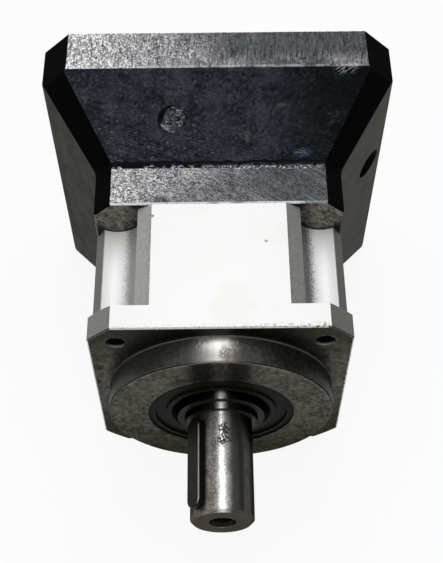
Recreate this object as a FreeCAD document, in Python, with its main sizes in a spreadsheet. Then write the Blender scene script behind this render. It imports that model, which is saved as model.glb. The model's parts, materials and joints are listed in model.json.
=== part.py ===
import FreeCAD
import Part
import Sketcher
import math
import os
import re

# Inline planetary gear reducer with a tapered motor adapter.
# The axis runs along Y, the output shaft points to -Y and +Z is up.
# The origin is the centre of the output mounting face, so stations along Y count from that face.
# All sizes are in millimetres and degrees.

SIZES = (
    # Square output flange, centring pilot and housing body
    ("flange_width", 90.0),
    ("flange_thick", 9.0),
    ("flange_turning", 58.1),
    ("pilot_radius", 40.0),
    ("pilot_length", 10.0),
    ("pilot_edge", 1.0),
    ("bolt_circle_radius", 50.0),
    ("bolt_hole_radius", 3.4),
    ("body_turning", 50.9),
    ("flute_radius", 9.5),
    ("flute_circle_radius", 52.4),
    ("body_end", 50.0),
    # Stepped bore of the housing, from the output seal to the ring gear
    ("seal_seat_radius", 26.0),
    ("seal_seat_end", -2.0),
    ("seal_recess", 0.4),
    ("seal_mouth", 2.2),
    ("seal_lip_start", 3.5),
    ("seal_lip_width", 1.0),
    ("seal_back", 3.0),
    ("seal_groove_inner", 19.6),
    ("seal_groove_outer", 23.6),
    ("seal_groove_depth", 0.8),
    ("lip_radius", 22.0),
    ("front_bearing_start", 0.5),
    ("front_bearing_width", 14.0),
    ("front_bearing_radius", 31.0),
    ("clip_groove_width", 1.8),
    ("clip_groove_depth", 1.8),
    ("clip_reach", 2.4),
    ("clip_gap", 24.0),
    ("lug_angle", 17.5),
    ("lug_radius", 2.6),
    ("lug_hole_radius", 1.0),
    ("ring_seat_start", 18.5),
    ("ring_radius", 38.0),
    # Screws that hold the adapter to the housing
    ("adapter_screw_circle", 42.5),
    ("adapter_screw_angle", 66.0),
    ("adapter_screw_seat", 60.0),
    ("adapter_screw_length", 21.0),
    ("tapped_depth", 13.0),
    ("screw_radius", 2.5),
    ("screw_head_radius", 4.25),
    ("screw_head_height", 5.0),
    ("screw_socket", 2.3),
    ("screw_clearance", 0.25),
    # Tapered motor adapter
    ("neck_corner", 6.3),
    ("taper_corner", 8.5),
    ("neck_end", 68.0),
    ("taper_end", 97.0),
    ("motor_flange_width", 130.0),
    ("motor_corner", 10.0),
    ("adapter_end", 114.0),
    ("spigot_start", 40.2),
    ("rear_bearing_radius", 32.5),
    ("web_radius", 28.6),
    ("input_bearing_start", 53.0),
    ("input_bearing_width", 12.0),
    ("input_bearing_radius", 31.0),
    ("seal_pocket_end", 75.0),
    ("input_seal_width", 7.0),
    ("cavity_radius", 33.0),
    ("motor_pilot_radius", 55.0),
    ("motor_pilot_depth", 6.0),
    ("motor_bolt_circle", 72.5),
    ("motor_bolt_radius", 3.4),
    ("motor_bolt_depth", 16.0),
    ("access_radius", 5.4),
    ("clamp_station", 88.7),
    ("clamp_height", 16.2),
    # Output shaft, its key and the planet carrier
    ("shaft_radius", 11.0),
    ("shaft_reach", 50.0),
    ("shaft_edge", 1.0),
    ("centre_mouth_radius", 4.75),
    ("centre_hole_radius", 3.4),
    ("centre_hole_depth", 20.0),
    ("collar_radius", 13.0),
    ("collar_start", -14.0),
    ("journal_radius", 15.5),
    ("journal_start", -11.5),
    ("front_seat_radius", 17.5),
    ("shoulder_radius", 20.5),
    ("key_width", 6.0),
    ("key_height", 6.0),
    ("key_bottom", 7.5),
    ("key_start", -48.0),
    ("key_end", -16.0),
    ("key_turn", -22.5),
    ("carrier_radius", 29.5),
    ("carrier_start", 17.4),
    ("planet_start", 22.0),
    ("planet_width", 16.0),
    ("side_gap", 0.5),
    ("rear_plate_thick", 4.0),
    ("rear_hub_radius", 25.0),
    ("rear_bore_radius", 14.5),
    ("post_radius", 5.0),
    ("post_circle", 24.0),
    ("post_screw_radius", 2.0),
    ("post_screw_length", 14.0),
    ("post_head_radius", 3.5),
    ("post_head_height", 2.6),
    ("post_socket", 1.7),
    ("pin_radius", 5.0),
    ("bush_radius", 6.5),
    ("rear_bearing_start", 43.0),
    ("rear_bearing_width", 7.0),
    # Spur gear train: sun, three planets and a fixed ring
    ("gear_module", 1.5),
    ("pressure_angle", 20.0),
    ("sun_teeth", 15.0),
    ("planet_teeth", 15.0),
    ("ring_teeth", 45.0),
    ("ring_tip_radius", 32.7),
    ("flank_gap", 0.08),
    ("carrier_turn", 69.5),
    # Input shaft with its clamping nose
    ("neck_radius", 9.0),
    ("input_journal_radius", 20.0),
    ("input_shoulder_radius", 22.0),
    ("input_shoulder_width", 2.0),
    ("nose_radius", 13.0),
    ("nose_start", 76.0),
    ("nose_end", 99.0),
    ("motor_shaft_radius", 11.0),
    ("motor_bore_start", 58.0),
    ("slit_width", 1.6),
    ("slit_start", 79.0),
    ("clamp_outer_radius", 24.0),
    ("clamp_width", 15.0),
    ("clamp_screw_radius", 3.0),
    ("clamp_screw_length", 22.0),
    ("clamp_head_radius", 5.0),
    ("clamp_head_height", 6.0),
    ("clamp_head_seat", 8.0),
    ("clamp_socket", 2.9),
    # Roller bearings: share of the section in each ring, rib beside the rollers, cage
    ("ring_wall_share", 0.32),
    ("roller_inset", 1.6),
    ("roller_rib", 0.7),
    ("cage_share", 0.4),
    ("cage_inset", 0.7),
    # Broken edges, and the sloping foot where the taper leaves the neck
    ("edge_break", 0.5),
    ("key_edge", 0.3),
    ("foot_break", 1.0),
    # Room left between pieces: press seats, running fits and roller pockets
    ("seat_gap", 0.05),
    ("running_gap", 0.04),
    ("pocket_gap", 0.12),
    # How far a cut runs past the face that it opens
    ("overcut", 1.0),
)

PLANETS = 3
CORNERS = 4
FRONT_ROLLERS = 18
REAR_ROLLERS = 30
INPUT_ROLLERS = 20
DEDENDUM = 1.25
FULL_TURN = 360.0
# Two lengths closer than this are the same.
TOUCH = 1e-6
ORIGIN = -1
HORIZONTAL_AXIS = -1
VERTICAL_AXIS = -2

PLANET_REACH = "gear_module * (sun_teeth + planet_teeth) / 2"
REAR_PLATE_START = "(planet_start + planet_width + side_gap)"
REAR_PLATE_END = "(planet_start + planet_width + side_gap + rear_plate_thick)"
FRONT_BEARING_END = "(front_bearing_start + front_bearing_width)"
REAR_BEARING_END = "(rear_bearing_start + rear_bearing_width)"
INPUT_BEARING_END = "(input_bearing_start + input_bearing_width)"

# Turns a piece drawn along Z so that it lies along the gear axis, towards the motor.
ALONG_AXIS = FreeCAD.Rotation(FreeCAD.Vector(1, 0, 0), -90)

doc = FreeCAD.newDocument("servo_gear_reducer")
sheet = doc.addObject("Spreadsheet::Sheet", "Sizes")
for row, (alias, amount) in enumerate(SIZES, start=1):
    sheet.set("A%d" % row, alias)
    sheet.set("B%d" % row, str(amount))
    sheet.setAlias("B%d" % row, alias)
doc.recompute()

DRIVING = {alias for alias, amount in SIZES}
sub_parts = []


def bound(text):
    """Expression in which every driving dimension is read from the sheet."""
    def cell(word):
        return "Sizes." + word.group() if word.group() in DRIVING else word.group()
    return re.sub(r"[a-z_]+", cell, text)


def value(text):
    """Number that an expression of driving dimensions gives."""
    return float(sheet.evalExpression(bound(text)))


# Sketch geometry tied to the driving dimensions

def fix_coordinate(sketch, kind, axis, geometry, end, text):
    """Hold one coordinate of a sketch point at an expression."""
    amount = value(text)
    if abs(amount) < TOUCH:
        sketch.addConstraint(Sketcher.Constraint("PointOnObject", geometry, end, axis))
    elif amount > 0:
        index = sketch.addConstraint(Sketcher.Constraint(kind, ORIGIN, 1, geometry, end, amount))
        sketch.setExpression("Constraints[%d]" % index, bound(text))
    else:
        index = sketch.addConstraint(Sketcher.Constraint(kind, geometry, end, ORIGIN, 1, -amount))
        sketch.setExpression("Constraints[%d]" % index, bound("-(%s)" % text))


def fix_point(sketch, geometry, end, point):
    fix_coordinate(sketch, "DistanceX", VERTICAL_AXIS, geometry, end, point[0])
    fix_coordinate(sketch, "DistanceY", HORIZONTAL_AXIS, geometry, end, point[1])


def flat(point):
    return FreeCAD.Vector(value(point[0]), value(point[1]), 0)


def draw_outline(sketch, outline):
    """Closed outline of straight edges through points given as pairs of expressions."""
    count = len(outline)
    for i in range(count):
        edge = Part.LineSegment(flat(outline[i]), flat(outline[(i + 1) % count]))
        sketch.addGeometry(edge, False)
    for i in range(count):
        sketch.addConstraint(Sketcher.Constraint("Coincident", i, 2, (i + 1) % count, 1))
        fix_point(sketch, i, 1, outline[i])


def draw_circle(sketch, centre, radius):
    circle = Part.Circle(flat(centre), FreeCAD.Vector(0, 0, 1), value(radius))
    index = sketch.addGeometry(circle, False)
    fix_point(sketch, index, 3, centre)
    size = sketch.addConstraint(Sketcher.Constraint("Radius", index, value(radius)))
    sketch.setExpression("Constraints[%d]" % size, bound(radius))


def draw_slot(sketch, half_width, start, end):
    """Slot along the sketch's vertical axis, with round ends inside start and end."""
    radius = value(half_width)
    low = FreeCAD.Vector(0, value(start) + radius, 0)
    high = FreeCAD.Vector(0, value(end) - radius, 0)
    up = FreeCAD.Vector(0, 0, 1)
    side = FreeCAD.Vector(radius, 0, 0)
    sketch.addGeometry(Part.ArcOfCircle(Part.Circle(low, up, radius), math.pi, 2 * math.pi), False)
    sketch.addGeometry(Part.LineSegment(low + side, high + side), False)
    sketch.addGeometry(Part.ArcOfCircle(Part.Circle(high, up, radius), 0, math.pi), False)
    sketch.addGeometry(Part.LineSegment(high - side, low - side), False)
    for first, second in ((0, 1), (1, 2), (2, 3), (3, 0)):
        sketch.addConstraint(Sketcher.Constraint("Tangent", first, 2, second, 1))
    fix_point(sketch, 0, 3, ("0", "%s + %s" % (start, half_width)))
    fix_point(sketch, 2, 3, ("0", "%s - %s" % (end, half_width)))
    size = sketch.addConstraint(Sketcher.Constraint("Radius", 0, radius))
    sketch.setExpression("Constraints[%d]" % size, bound(half_width))


def cut_corner_square(half, corner):
    """Square of the given half width whose four corners are cut at 45 degrees."""
    inner = "(%s - %s)" % (half, corner)
    return (
        (inner, "-" + half), (half, "-" + inner), (half, inner), (inner, half),
        ("-" + inner, half), ("-" + half, inner), ("-" + half, "-" + inner), ("-" + inner, "-" + half),
    )


def rectangle(left, right, low, high):
    return ((left, low), (right, low), (right, high), (left, high))


# Features of a body

def origin_feature(body, role):
    return next(item for item in body.Origin.OriginFeatures if item.Role == role)


def new_body(label):
    body = doc.addObject("PartDesign::Body", label)
    body.Label = label
    return body


def new_sketch(body, name, plane, offset="0"):
    sketch = body.newObject("Sketcher::SketchObject", name)
    sketch.AttachmentSupport = (origin_feature(body, plane), "")
    sketch.MapMode = "FlatFace"
    if offset != "0":
        sketch.setExpression("AttachmentOffset.Base.z", bound(offset))
    return sketch


def cross_section(body, name, station):
    """Sketch across the axis at a station: its x is X and its y is Z."""
    return new_sketch(body, name, "XZ_Plane", "-(%s)" % station)


def pad(body, sketch, length, backwards):
    feature = body.newObject("PartDesign::Pad", sketch.Name + "_pad")
    feature.Profile = sketch
    feature.setExpression("Length", bound(length))
    feature.Reversed = backwards
    body.Tip = feature
    return feature


def pocket(body, sketch, length, backwards=False):
    feature = body.newObject("PartDesign::Pocket", sketch.Name + "_pocket")
    feature.Profile = sketch
    feature.setExpression("Length", bound(length))
    feature.Reversed = backwards
    body.Tip = feature
    return feature


def turn(body, name, kind, outline, angle=FULL_TURN):
    """Revolution or Groove of a half section: radius along X, station along Y."""
    sketch = new_sketch(body, name, "XY_Plane")
    draw_outline(sketch, outline)
    feature = body.newObject("PartDesign::" + kind, name + "_turn")
    feature.Profile = sketch
    feature.ReferenceAxis = (sketch, ["V_Axis"])
    feature.Angle = angle
    body.Tip = feature
    return feature


def around_axis(body, features, count):
    pattern = body.newObject("PartDesign::PolarPattern", features[0].Name + "_ring")
    pattern.Originals = features
    pattern.Axis = (origin_feature(body, "Y_Axis"), [""])
    pattern.Angle = FULL_TURN
    pattern.Occurrences = count
    body.Tip = pattern
    return pattern


def dress_edges(body, name, kind, dimension, size, ends, belongs):
    """Chamfer or Fillet on the edges with that many end points, all of which belong to an edge line."""
    doc.recompute()
    base = body.Tip
    names = []
    for number, edge in enumerate(base.Shape.Edges, start=1):
        if len(edge.Vertexes) == ends and all(belongs(vertex.Point) for vertex in edge.Vertexes):
            names.append("Edge%d" % number)
    feature = body.newObject("PartDesign::" + kind, name)
    feature.Base = (base, names)
    feature.setExpression(dimension, bound(size))
    body.Tip = feature


def break_edges(body, name, size, belongs):
    """Chamfer on open edges."""
    dress_edges(body, name, "Chamfer", "Size", size, 2, belongs)


def round_rim(body, name, size, belongs):
    """Rounding on a closed circular edge."""
    dress_edges(body, name, "Fillet", "Radius", size, 1, belongs)


def on_outline(station):
    """Test for points on the outer outline of a square section at a station."""
    level = value(station)
    reach = value("flange_width / 2")

    def belongs(point):
        return abs(point.y - level) < TOUCH and math.hypot(point.x, point.z) > reach
    return belongs


def on_circle(radius, station):
    """Test for points on a circle about the axis at a station."""
    level = value(station)
    reach = value(radius)

    def belongs(point):
        return abs(point.y - level) < TOUCH and abs(math.hypot(point.x, point.z) - reach) < TOUCH
    return belongs


def turned_piece(label, outline):
    body = new_body(label)
    turn(body, label + "_profile", "Revolution", outline)
    sub_parts.append(body)
    return body


def turned_about_axis(angle, reach=0.0):
    """Placement turned from +Z towards -X about the gear axis, then moved out by reach."""
    rotation = FreeCAD.Rotation(FreeCAD.Vector(0, -1, 0), angle)
    return FreeCAD.Placement(rotation.multVec(FreeCAD.Vector(0, 0, reach)), rotation)


# Housing: flange, pilot and fluted body in one piece

def make_gear_housing():
    body = new_body("gear_housing")
    section = cross_section(body, "housing_section", "0")
    half = "flange_width / 2"
    draw_outline(section, rectangle("-" + half, half, "-" + half, half))
    pad(body, section, "body_end", True)
    turn(body, "corner_turning", "Groove", (
        ("flange_turning", "-overcut"),
        ("flange_width", "-overcut"),
        ("flange_width", "body_end + overcut"),
        ("body_turning", "body_end + overcut"),
        ("body_turning", "flange_thick"),
        ("flange_turning", "flange_thick"),
    ))
    flute = cross_section(body, "bolt_flute", "flange_thick")
    flute_centre = "flute_circle_radius * sqrt(0.5)"
    draw_circle(flute, (flute_centre, flute_centre), "flute_radius")
    around_axis(body, [pocket(body, flute, "body_end")], CORNERS)
    pilot = rectangle("0", "pilot_radius", "-pilot_length", "flange_thick / 2")
    turn(body, "pilot_profile", "Revolution", pilot)
    groove_end = FRONT_BEARING_END + " + clip_groove_width"
    groove_radius = "front_bearing_radius + clip_groove_depth"
    turn(body, "housing_bore", "Groove", (
        ("0", "-pilot_length - overcut"),
        ("seal_seat_radius", "-pilot_length - overcut"),
        ("seal_seat_radius", "seal_seat_end"),
        ("lip_radius", "seal_seat_end"),
        ("lip_radius", "front_bearing_start"),
        ("front_bearing_radius", "front_bearing_start"),
        ("front_bearing_radius", FRONT_BEARING_END),
        (groove_radius, FRONT_BEARING_END),
        (groove_radius, groove_end),
        ("front_bearing_radius", groove_end),
        ("front_bearing_radius", "ring_seat_start"),
        ("ring_radius", "ring_seat_start"),
        ("ring_radius", "body_end + overcut"),
        ("0", "body_end + overcut"),
    ))
    hole = cross_section(body, "bolt_hole", "0")
    bolt_centre = "bolt_circle_radius * sqrt(0.5)"
    draw_circle(hole, (bolt_centre, bolt_centre), "bolt_hole_radius")
    around_axis(body, [pocket(body, hole, "flange_thick + overcut")], CORNERS)
    tapped = cross_section(body, "tapped_hole", "body_end - tapped_depth")
    draw_circle(tapped, adapter_screw_point(), "screw_radius")
    around_axis(body, [pocket(body, tapped, "tapped_depth + overcut")], CORNERS)
    break_edges(body, "flange_front_edges", "edge_break", on_outline("0"))
    round_rim(body, "pilot_rim", "pilot_edge", on_circle("pilot_radius", "-pilot_length"))
    sub_parts.append(body)


def adapter_screw_point():
    return (
        "adapter_screw_circle * cos(adapter_screw_angle)",
        "adapter_screw_circle * sin(adapter_screw_angle)",
    )


# Motor adapter: square neck, four-sided taper and motor flange in one casting

def make_motor_adapter():
    body = new_body("motor_adapter")
    neck_outline = cut_corner_square("flange_width / 2", "neck_corner")
    motor_outline = cut_corner_square("motor_flange_width / 2", "motor_corner")
    neck = cross_section(body, "neck_section", "body_end")
    draw_outline(neck, neck_outline)
    pad(body, neck, "neck_end - body_end", True)
    small_end = cross_section(body, "taper_small_end", "neck_end")
    draw_outline(small_end, neck_outline)
    large_end = cross_section(body, "taper_large_end", "taper_end")
    draw_outline(large_end, cut_corner_square("motor_flange_width / 2", "taper_corner"))
    taper = body.newObject("PartDesign::AdditiveLoft", "taper")
    taper.Profile = small_end
    taper.Sections = [large_end]
    taper.Ruled = True
    body.Tip = taper
    # The corner cuts of the motor flange run on into the taper, whose own corners are cut less deep.
    cut_end = cross_section(body, "taper_corner_cut", "neck_end")
    far = "(motor_flange_width / 2 + overcut)"
    near = "(motor_flange_width / 2 - motor_corner - overcut)"
    draw_outline(cut_end, ((near, far), (far, near), (far, far)))
    around_axis(body, [pocket(body, cut_end, "taper_end - neck_end")], CORNERS)
    block = cross_section(body, "motor_flange_section", "taper_end")
    draw_outline(block, motor_outline)
    pad(body, block, "adapter_end - taper_end", True)
    spigot = cross_section(body, "spigot_section", "spigot_start")
    draw_circle(spigot, ("0", "0"), "ring_radius - seat_gap")
    pad(body, spigot, "body_end - spigot_start + overcut", True)
    clip_end = INPUT_BEARING_END + " + clip_groove_width"
    clip_radius = "input_bearing_radius + clip_groove_depth"
    turn(body, "adapter_bore", "Groove", (
        ("0", "spigot_start - overcut"),
        ("rear_bearing_radius", "spigot_start - overcut"),
        ("rear_bearing_radius", "body_end"),
        ("web_radius", "body_end"),
        ("web_radius", "input_bearing_start"),
        ("input_bearing_radius", "input_bearing_start"),
        ("input_bearing_radius", INPUT_BEARING_END),
        (clip_radius, INPUT_BEARING_END),
        (clip_radius, clip_end),
        ("input_bearing_radius", clip_end),
        ("input_bearing_radius", "seal_pocket_end"),
        ("cavity_radius", "seal_pocket_end"),
        ("cavity_radius", "adapter_end - motor_pilot_depth"),
        ("motor_pilot_radius", "adapter_end - motor_pilot_depth"),
        ("motor_pilot_radius", "adapter_end + overcut"),
        ("0", "adapter_end + overcut"),
    ))
    shank = cross_section(body, "screw_shank_hole", "body_end - overcut")
    draw_circle(shank, adapter_screw_point(), "screw_radius + screw_clearance")
    head = cross_section(body, "screw_head_hole", "adapter_screw_seat")
    draw_circle(head, adapter_screw_point(), "screw_head_radius + screw_clearance")
    around_axis(body, [
        pocket(body, shank, "adapter_screw_seat - body_end + 2 * overcut"),
        pocket(body, head, "adapter_end - adapter_screw_seat"),
    ], CORNERS)
    bolt = cross_section(body, "motor_bolt_hole", "adapter_end - motor_bolt_depth")
    corner = "motor_bolt_circle * sqrt(0.5)"
    draw_circle(bolt, (corner, corner), "motor_bolt_radius")
    around_axis(body, [pocket(body, bolt, "motor_bolt_depth + overcut")], CORNERS)
    access = new_sketch(body, "clamp_access_hole", "YZ_Plane")
    draw_circle(access, ("clamp_station", "clamp_height"), "access_radius")
    pocket(body, access, "motor_flange_width", True)
    break_edges(body, "taper_foot", "foot_break", on_outline("neck_end"))
    for edge_line in ("body_end", "taper_end", "adapter_end"):
        break_edges(body, edge_line + "_edges", "edge_break", on_outline(edge_line))
    sub_parts.append(body)


# Output shaft with the front plate and posts of the planet carrier

def make_output_shaft():
    body = new_body("output_shaft")
    plate_end = "planet_start - side_gap"
    turn(body, "shaft_profile", "Revolution", (
        ("0", "centre_hole_depth - shaft_reach"),
        ("centre_hole_radius", "centre_hole_depth - centre_hole_radius - shaft_reach"),
        ("centre_hole_radius", "centre_mouth_radius - centre_hole_radius - shaft_reach"),
        ("centre_mouth_radius", "-shaft_reach"),
        ("shaft_radius - shaft_edge", "-shaft_reach"),
        ("shaft_radius", "shaft_edge - shaft_reach"),
        ("shaft_radius", "collar_start"),
        ("collar_radius", "collar_start"),
        ("collar_radius", "journal_start"),
        ("journal_radius", "journal_start"),
        ("journal_radius", "front_bearing_start"),
        ("front_seat_radius", "front_bearing_start"),
        ("front_seat_radius", FRONT_BEARING_END),
        ("shoulder_radius", FRONT_BEARING_END),
        ("shoulder_radius", "carrier_start"),
        ("carrier_radius", "carrier_start"),
        ("carrier_radius", plate_end),
        ("0", plate_end),
    ))
    keyway = new_sketch(body, "keyway", "XY_Plane")
    keyway.AttachmentOffset = turned_about_axis(value("key_turn"), value("key_bottom"))
    draw_slot(keyway, "key_width / 2", "key_start", "key_end")
    pocket(body, keyway, "shaft_radius", True)
    post = cross_section(body, "carrier_post", plate_end)
    draw_circle(post, ("0", "-post_circle"), "post_radius")
    pin = cross_section(body, "pin_hole", "carrier_start")
    draw_circle(pin, ("0", PLANET_REACH), "pin_radius + seat_gap")
    thread = cross_section(body, "post_screw_hole", "planet_start")
    draw_circle(thread, ("0", "-post_circle"), "post_screw_radius + seat_gap")
    around_axis(body, [
        pad(body, post, "planet_width + 2 * side_gap", True),
        pocket(body, pin, "planet_start"),
        pocket(body, thread, "planet_width + overcut"),
    ], PLANETS)
    body.Placement = turned_about_axis(value("carrier_turn"))
    sub_parts.append(body)


def make_output_key():
    body = new_body("output_key")
    slot = new_sketch(body, "key_outline", "XY_Plane", "key_bottom + seat_gap")
    draw_slot(slot, "key_width / 2 - seat_gap", "key_start + seat_gap", "key_end - seat_gap")
    pad(body, slot, "key_height", False)
    top = value("key_bottom + seat_gap + key_height")
    break_edges(body, "key_top_edges", "key_edge", lambda point: abs(point.z - top) < TOUCH)
    body.Placement = turned_about_axis(value("carrier_turn + key_turn"))
    sub_parts.append(body)


def make_carrier_rear_plate():
    body = new_body("carrier_rear_plate")
    turn(body, "rear_plate_profile", "Revolution", (
        ("rear_bore_radius", REAR_PLATE_START),
        ("carrier_radius", REAR_PLATE_START),
        ("carrier_radius", REAR_PLATE_END),
        ("rear_hub_radius", REAR_PLATE_END),
        ("rear_hub_radius", REAR_BEARING_END),
        ("rear_bore_radius", REAR_BEARING_END),
    ))
    pin = cross_section(body, "rear_pin_hole", REAR_PLATE_START)
    draw_circle(pin, ("0", PLANET_REACH), "pin_radius + seat_gap")
    shank = cross_section(body, "rear_screw_hole", REAR_PLATE_START)
    draw_circle(shank, ("0", "-post_circle"), "post_screw_radius + screw_clearance")
    head = cross_section(body, "rear_screw_head", REAR_PLATE_END + " - post_head_height - screw_clearance")
    draw_circle(head, ("0", "-post_circle"), "post_head_radius + screw_clearance")
    around_axis(body, [
        pocket(body, pin, "rear_plate_thick"),
        pocket(body, shank, "rear_plate_thick"),
        pocket(body, head, "rear_bearing_width + rear_plate_thick"),
    ], PLANETS)
    body.Placement = turned_about_axis(value("carrier_turn"))
    sub_parts.append(body)


# Socket head screws: head on local +Z above the seat, shank below it

def socket_screw(name, thread, length, head, height, socket):
    shank = doc.addObject("Part::Cylinder", name + "_shank")
    shank.setExpression("Radius", bound(thread))
    shank.setExpression("Height", bound(length))
    shank.setExpression("Placement.Base.z", bound("-(%s)" % length))
    cap = doc.addObject("Part::Cylinder", name + "_head")
    cap.setExpression("Radius", bound(head))
    cap.setExpression("Height", bound(height))
    hexagon = doc.addObject("Part::Prism", name + "_socket")
    hexagon.Polygon = 6
    hexagon.setExpression("Circumradius", bound(socket))
    hexagon.setExpression("Height", bound(height))
    hexagon.setExpression("Placement.Base.z", bound("%s / 2" % height))
    whole = doc.addObject("Part::Fuse", name + "_blank")
    whole.Base = cap
    whole.Tool = shank
    whole.Refine = True
    screw = doc.addObject("Part::Cut", name)
    screw.Base = whole
    screw.Tool = hexagon
    return screw


def grouped(label, pieces):
    """Identical pieces as one sub-part of separate solids."""
    group = doc.addObject("Part::Compound", label)
    group.Label = label
    group.Links = pieces
    sub_parts.append(group)
    return group


def make_adapter_screws():
    screws = []
    for i in range(CORNERS):
        screw = socket_screw("adapter_screw_%d" % (i + 1), "screw_radius", "adapter_screw_length",
                             "screw_head_radius", "screw_head_height", "screw_socket")
        angle = math.radians(value("adapter_screw_angle") + FULL_TURN * i / CORNERS)
        reach = value("adapter_screw_circle")
        seat = FreeCAD.Vector(reach * math.cos(angle), value("adapter_screw_seat"), reach * math.sin(angle))
        screw.Placement = FreeCAD.Placement(seat, ALONG_AXIS)
        screws.append(screw)
    grouped("adapter_screws", screws)


def make_carrier_screws():
    seat_station = value(REAR_PLATE_END + " - post_head_height - screw_clearance")
    screws = []
    for i in range(PLANETS):
        screw = socket_screw("carrier_screw_%d" % (i + 1), "post_screw_radius", "post_screw_length",
                             "post_head_radius", "post_head_height", "post_socket")
        seat = FreeCAD.Placement(FreeCAD.Vector(0, seat_station, -value("post_circle")), ALONG_AXIS)
        screw.Placement = turned_about_axis(value("carrier_turn") + FULL_TURN * i / PLANETS) * seat
        screws.append(screw)
    grouped("carrier_screws", screws)


def make_clamp_screw():
    screw = socket_screw("clamp_screw", "clamp_screw_radius", "clamp_screw_length",
                         "clamp_head_radius", "clamp_head_height", "clamp_socket")
    screw.Label = "clamp_screw"
    towards_access = FreeCAD.Rotation(FreeCAD.Vector(0, 1, 0), 90)
    seat = FreeCAD.Vector(value("clamp_head_seat"), value("clamp_station"), value("clamp_height"))
    screw.Placement = FreeCAD.Placement(seat, towards_access)
    sub_parts.append(screw)


# Involute teeth: flanks are arcs through three points of the involute

def involute(angle):
    return math.tan(angle) - angle


def tooth_outline(teeth, root, tip, flank_gap):
    """Closed wire across the axis with one tooth on +Z, thinned by flank_gap on each flank."""
    pressure = math.radians(value("pressure_angle"))
    pitch = value("gear_module") * teeth / 2
    base = pitch * math.cos(pressure)
    half_at_pitch = math.pi / (2 * teeth) - flank_gap / pitch
    low = max(root, base)
    middle = (low + tip) / 2

    def half_angle(radius):
        return half_at_pitch + involute(pressure) - involute(math.acos(base / radius))

    def at(radius, angle):
        return FreeCAD.Vector(radius * math.sin(angle), 0, radius * math.cos(angle))

    edges = []
    step = 2 * math.pi / teeth
    foot = half_angle(low)
    for tooth in range(teeth):
        centre = tooth * step
        rise = [at(radius, centre - half_angle(radius)) for radius in (low, middle, tip)]
        fall = [at(radius, centre + half_angle(radius)) for radius in (tip, middle, low)]
        if root < low:
            edges.append(Part.makeLine(at(root, centre - foot), rise[0]))
        edges.append(Part.Arc(*rise).toShape())
        edges.append(Part.Arc(rise[2], at(tip, centre), fall[0]).toShape())
        edges.append(Part.Arc(*fall).toShape())
        if root < low:
            edges.append(Part.makeLine(fall[2], at(root, centre + foot)))
        edges.append(Part.Arc(at(root, centre + foot), at(root, centre + step / 2),
                              at(root, centre + step - foot)).toShape())
    return Part.Wire(edges)


def toothed_bar(name, teeth, root, tip, flank_gap, start, length):
    """Spur toothed bar along the axis, from a station."""
    section = doc.addObject("Part::Feature", name + "_section")
    section.Shape = Part.Face(tooth_outline(teeth, root, tip, flank_gap))
    section.Placement = FreeCAD.Placement(FreeCAD.Vector(0, value(start), 0), FreeCAD.Rotation())
    bar = doc.addObject("Part::Extrusion", name)
    bar.Base = section
    bar.DirMode = "Custom"
    bar.Dir = FreeCAD.Vector(0, 1, 0)
    bar.setExpression("LengthFwd", bound(length))
    bar.Solid = True
    return bar


def axial_cylinder(name, radius, start, length):
    cylinder = doc.addObject("Part::Cylinder", name)
    cylinder.setExpression("Radius", bound(radius))
    cylinder.setExpression("Height", bound(length))
    cylinder.Placement = FreeCAD.Placement(FreeCAD.Vector(), ALONG_AXIS)
    cylinder.setExpression("Placement.Base.y", bound(start))
    return cylinder


def cut(label, base, tool):
    piece = doc.addObject("Part::Cut", label)
    piece.Label = label
    piece.Base = base
    piece.Tool = tool
    sub_parts.append(piece)
    return piece


def external_teeth(name, teeth, start, length):
    pitch = value("gear_module") * teeth / 2
    root = pitch - DEDENDUM * value("gear_module")
    tip = pitch + value("gear_module")
    return toothed_bar(name, teeth, root, tip, value("flank_gap"), start, length)


def make_ring_gear():
    teeth = int(value("ring_teeth"))
    root = value("gear_module") * (teeth / 2 + DEDENDUM)
    start = "ring_seat_start + seat_gap"
    length = "spigot_start - ring_seat_start - 2 * seat_gap"
    blank = axial_cylinder("ring_blank", "ring_radius - seat_gap", start, length)
    # The tooth spaces of the ring are the teeth of this bar, turned so that one space faces each planet.
    spaces = toothed_bar("ring_spaces", teeth, value("ring_tip_radius"), root, -value("flank_gap"),
                         "ring_seat_start - overcut", "spigot_start")
    ring = cut("ring_gear", blank, spaces)
    ring.Placement = turned_about_axis(value("carrier_turn"))


def make_planets():
    teeth = int(value("planet_teeth"))
    pin_outline = rectangle("0", "pin_radius", "carrier_start + seat_gap", REAR_PLATE_END + " - seat_gap")
    for i in range(PLANETS):
        number = i + 1
        place = turned_about_axis(value("carrier_turn") + FULL_TURN * i / PLANETS, value(PLANET_REACH))
        teeth_bar = external_teeth("planet_teeth_%d" % number, teeth, "planet_start", "planet_width")
        bore = axial_cylinder("planet_bore_%d" % number, "bush_radius + seat_gap",
                              "planet_start - overcut", "planet_width + 2 * overcut")
        gear = cut("planet_gear_%d" % number, teeth_bar, bore)
        gear.Placement = place
        bush = turned_piece("planet_bush_%d" % number, rectangle(
            "pin_radius + running_gap", "bush_radius", "planet_start", "planet_start + planet_width"))
        bush.Placement = place
        pin = turned_piece("planet_pin_%d" % number, pin_outline)
        pin.Placement = place


# Input shaft: sun teeth, bearing journal and slit clamping nose

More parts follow.
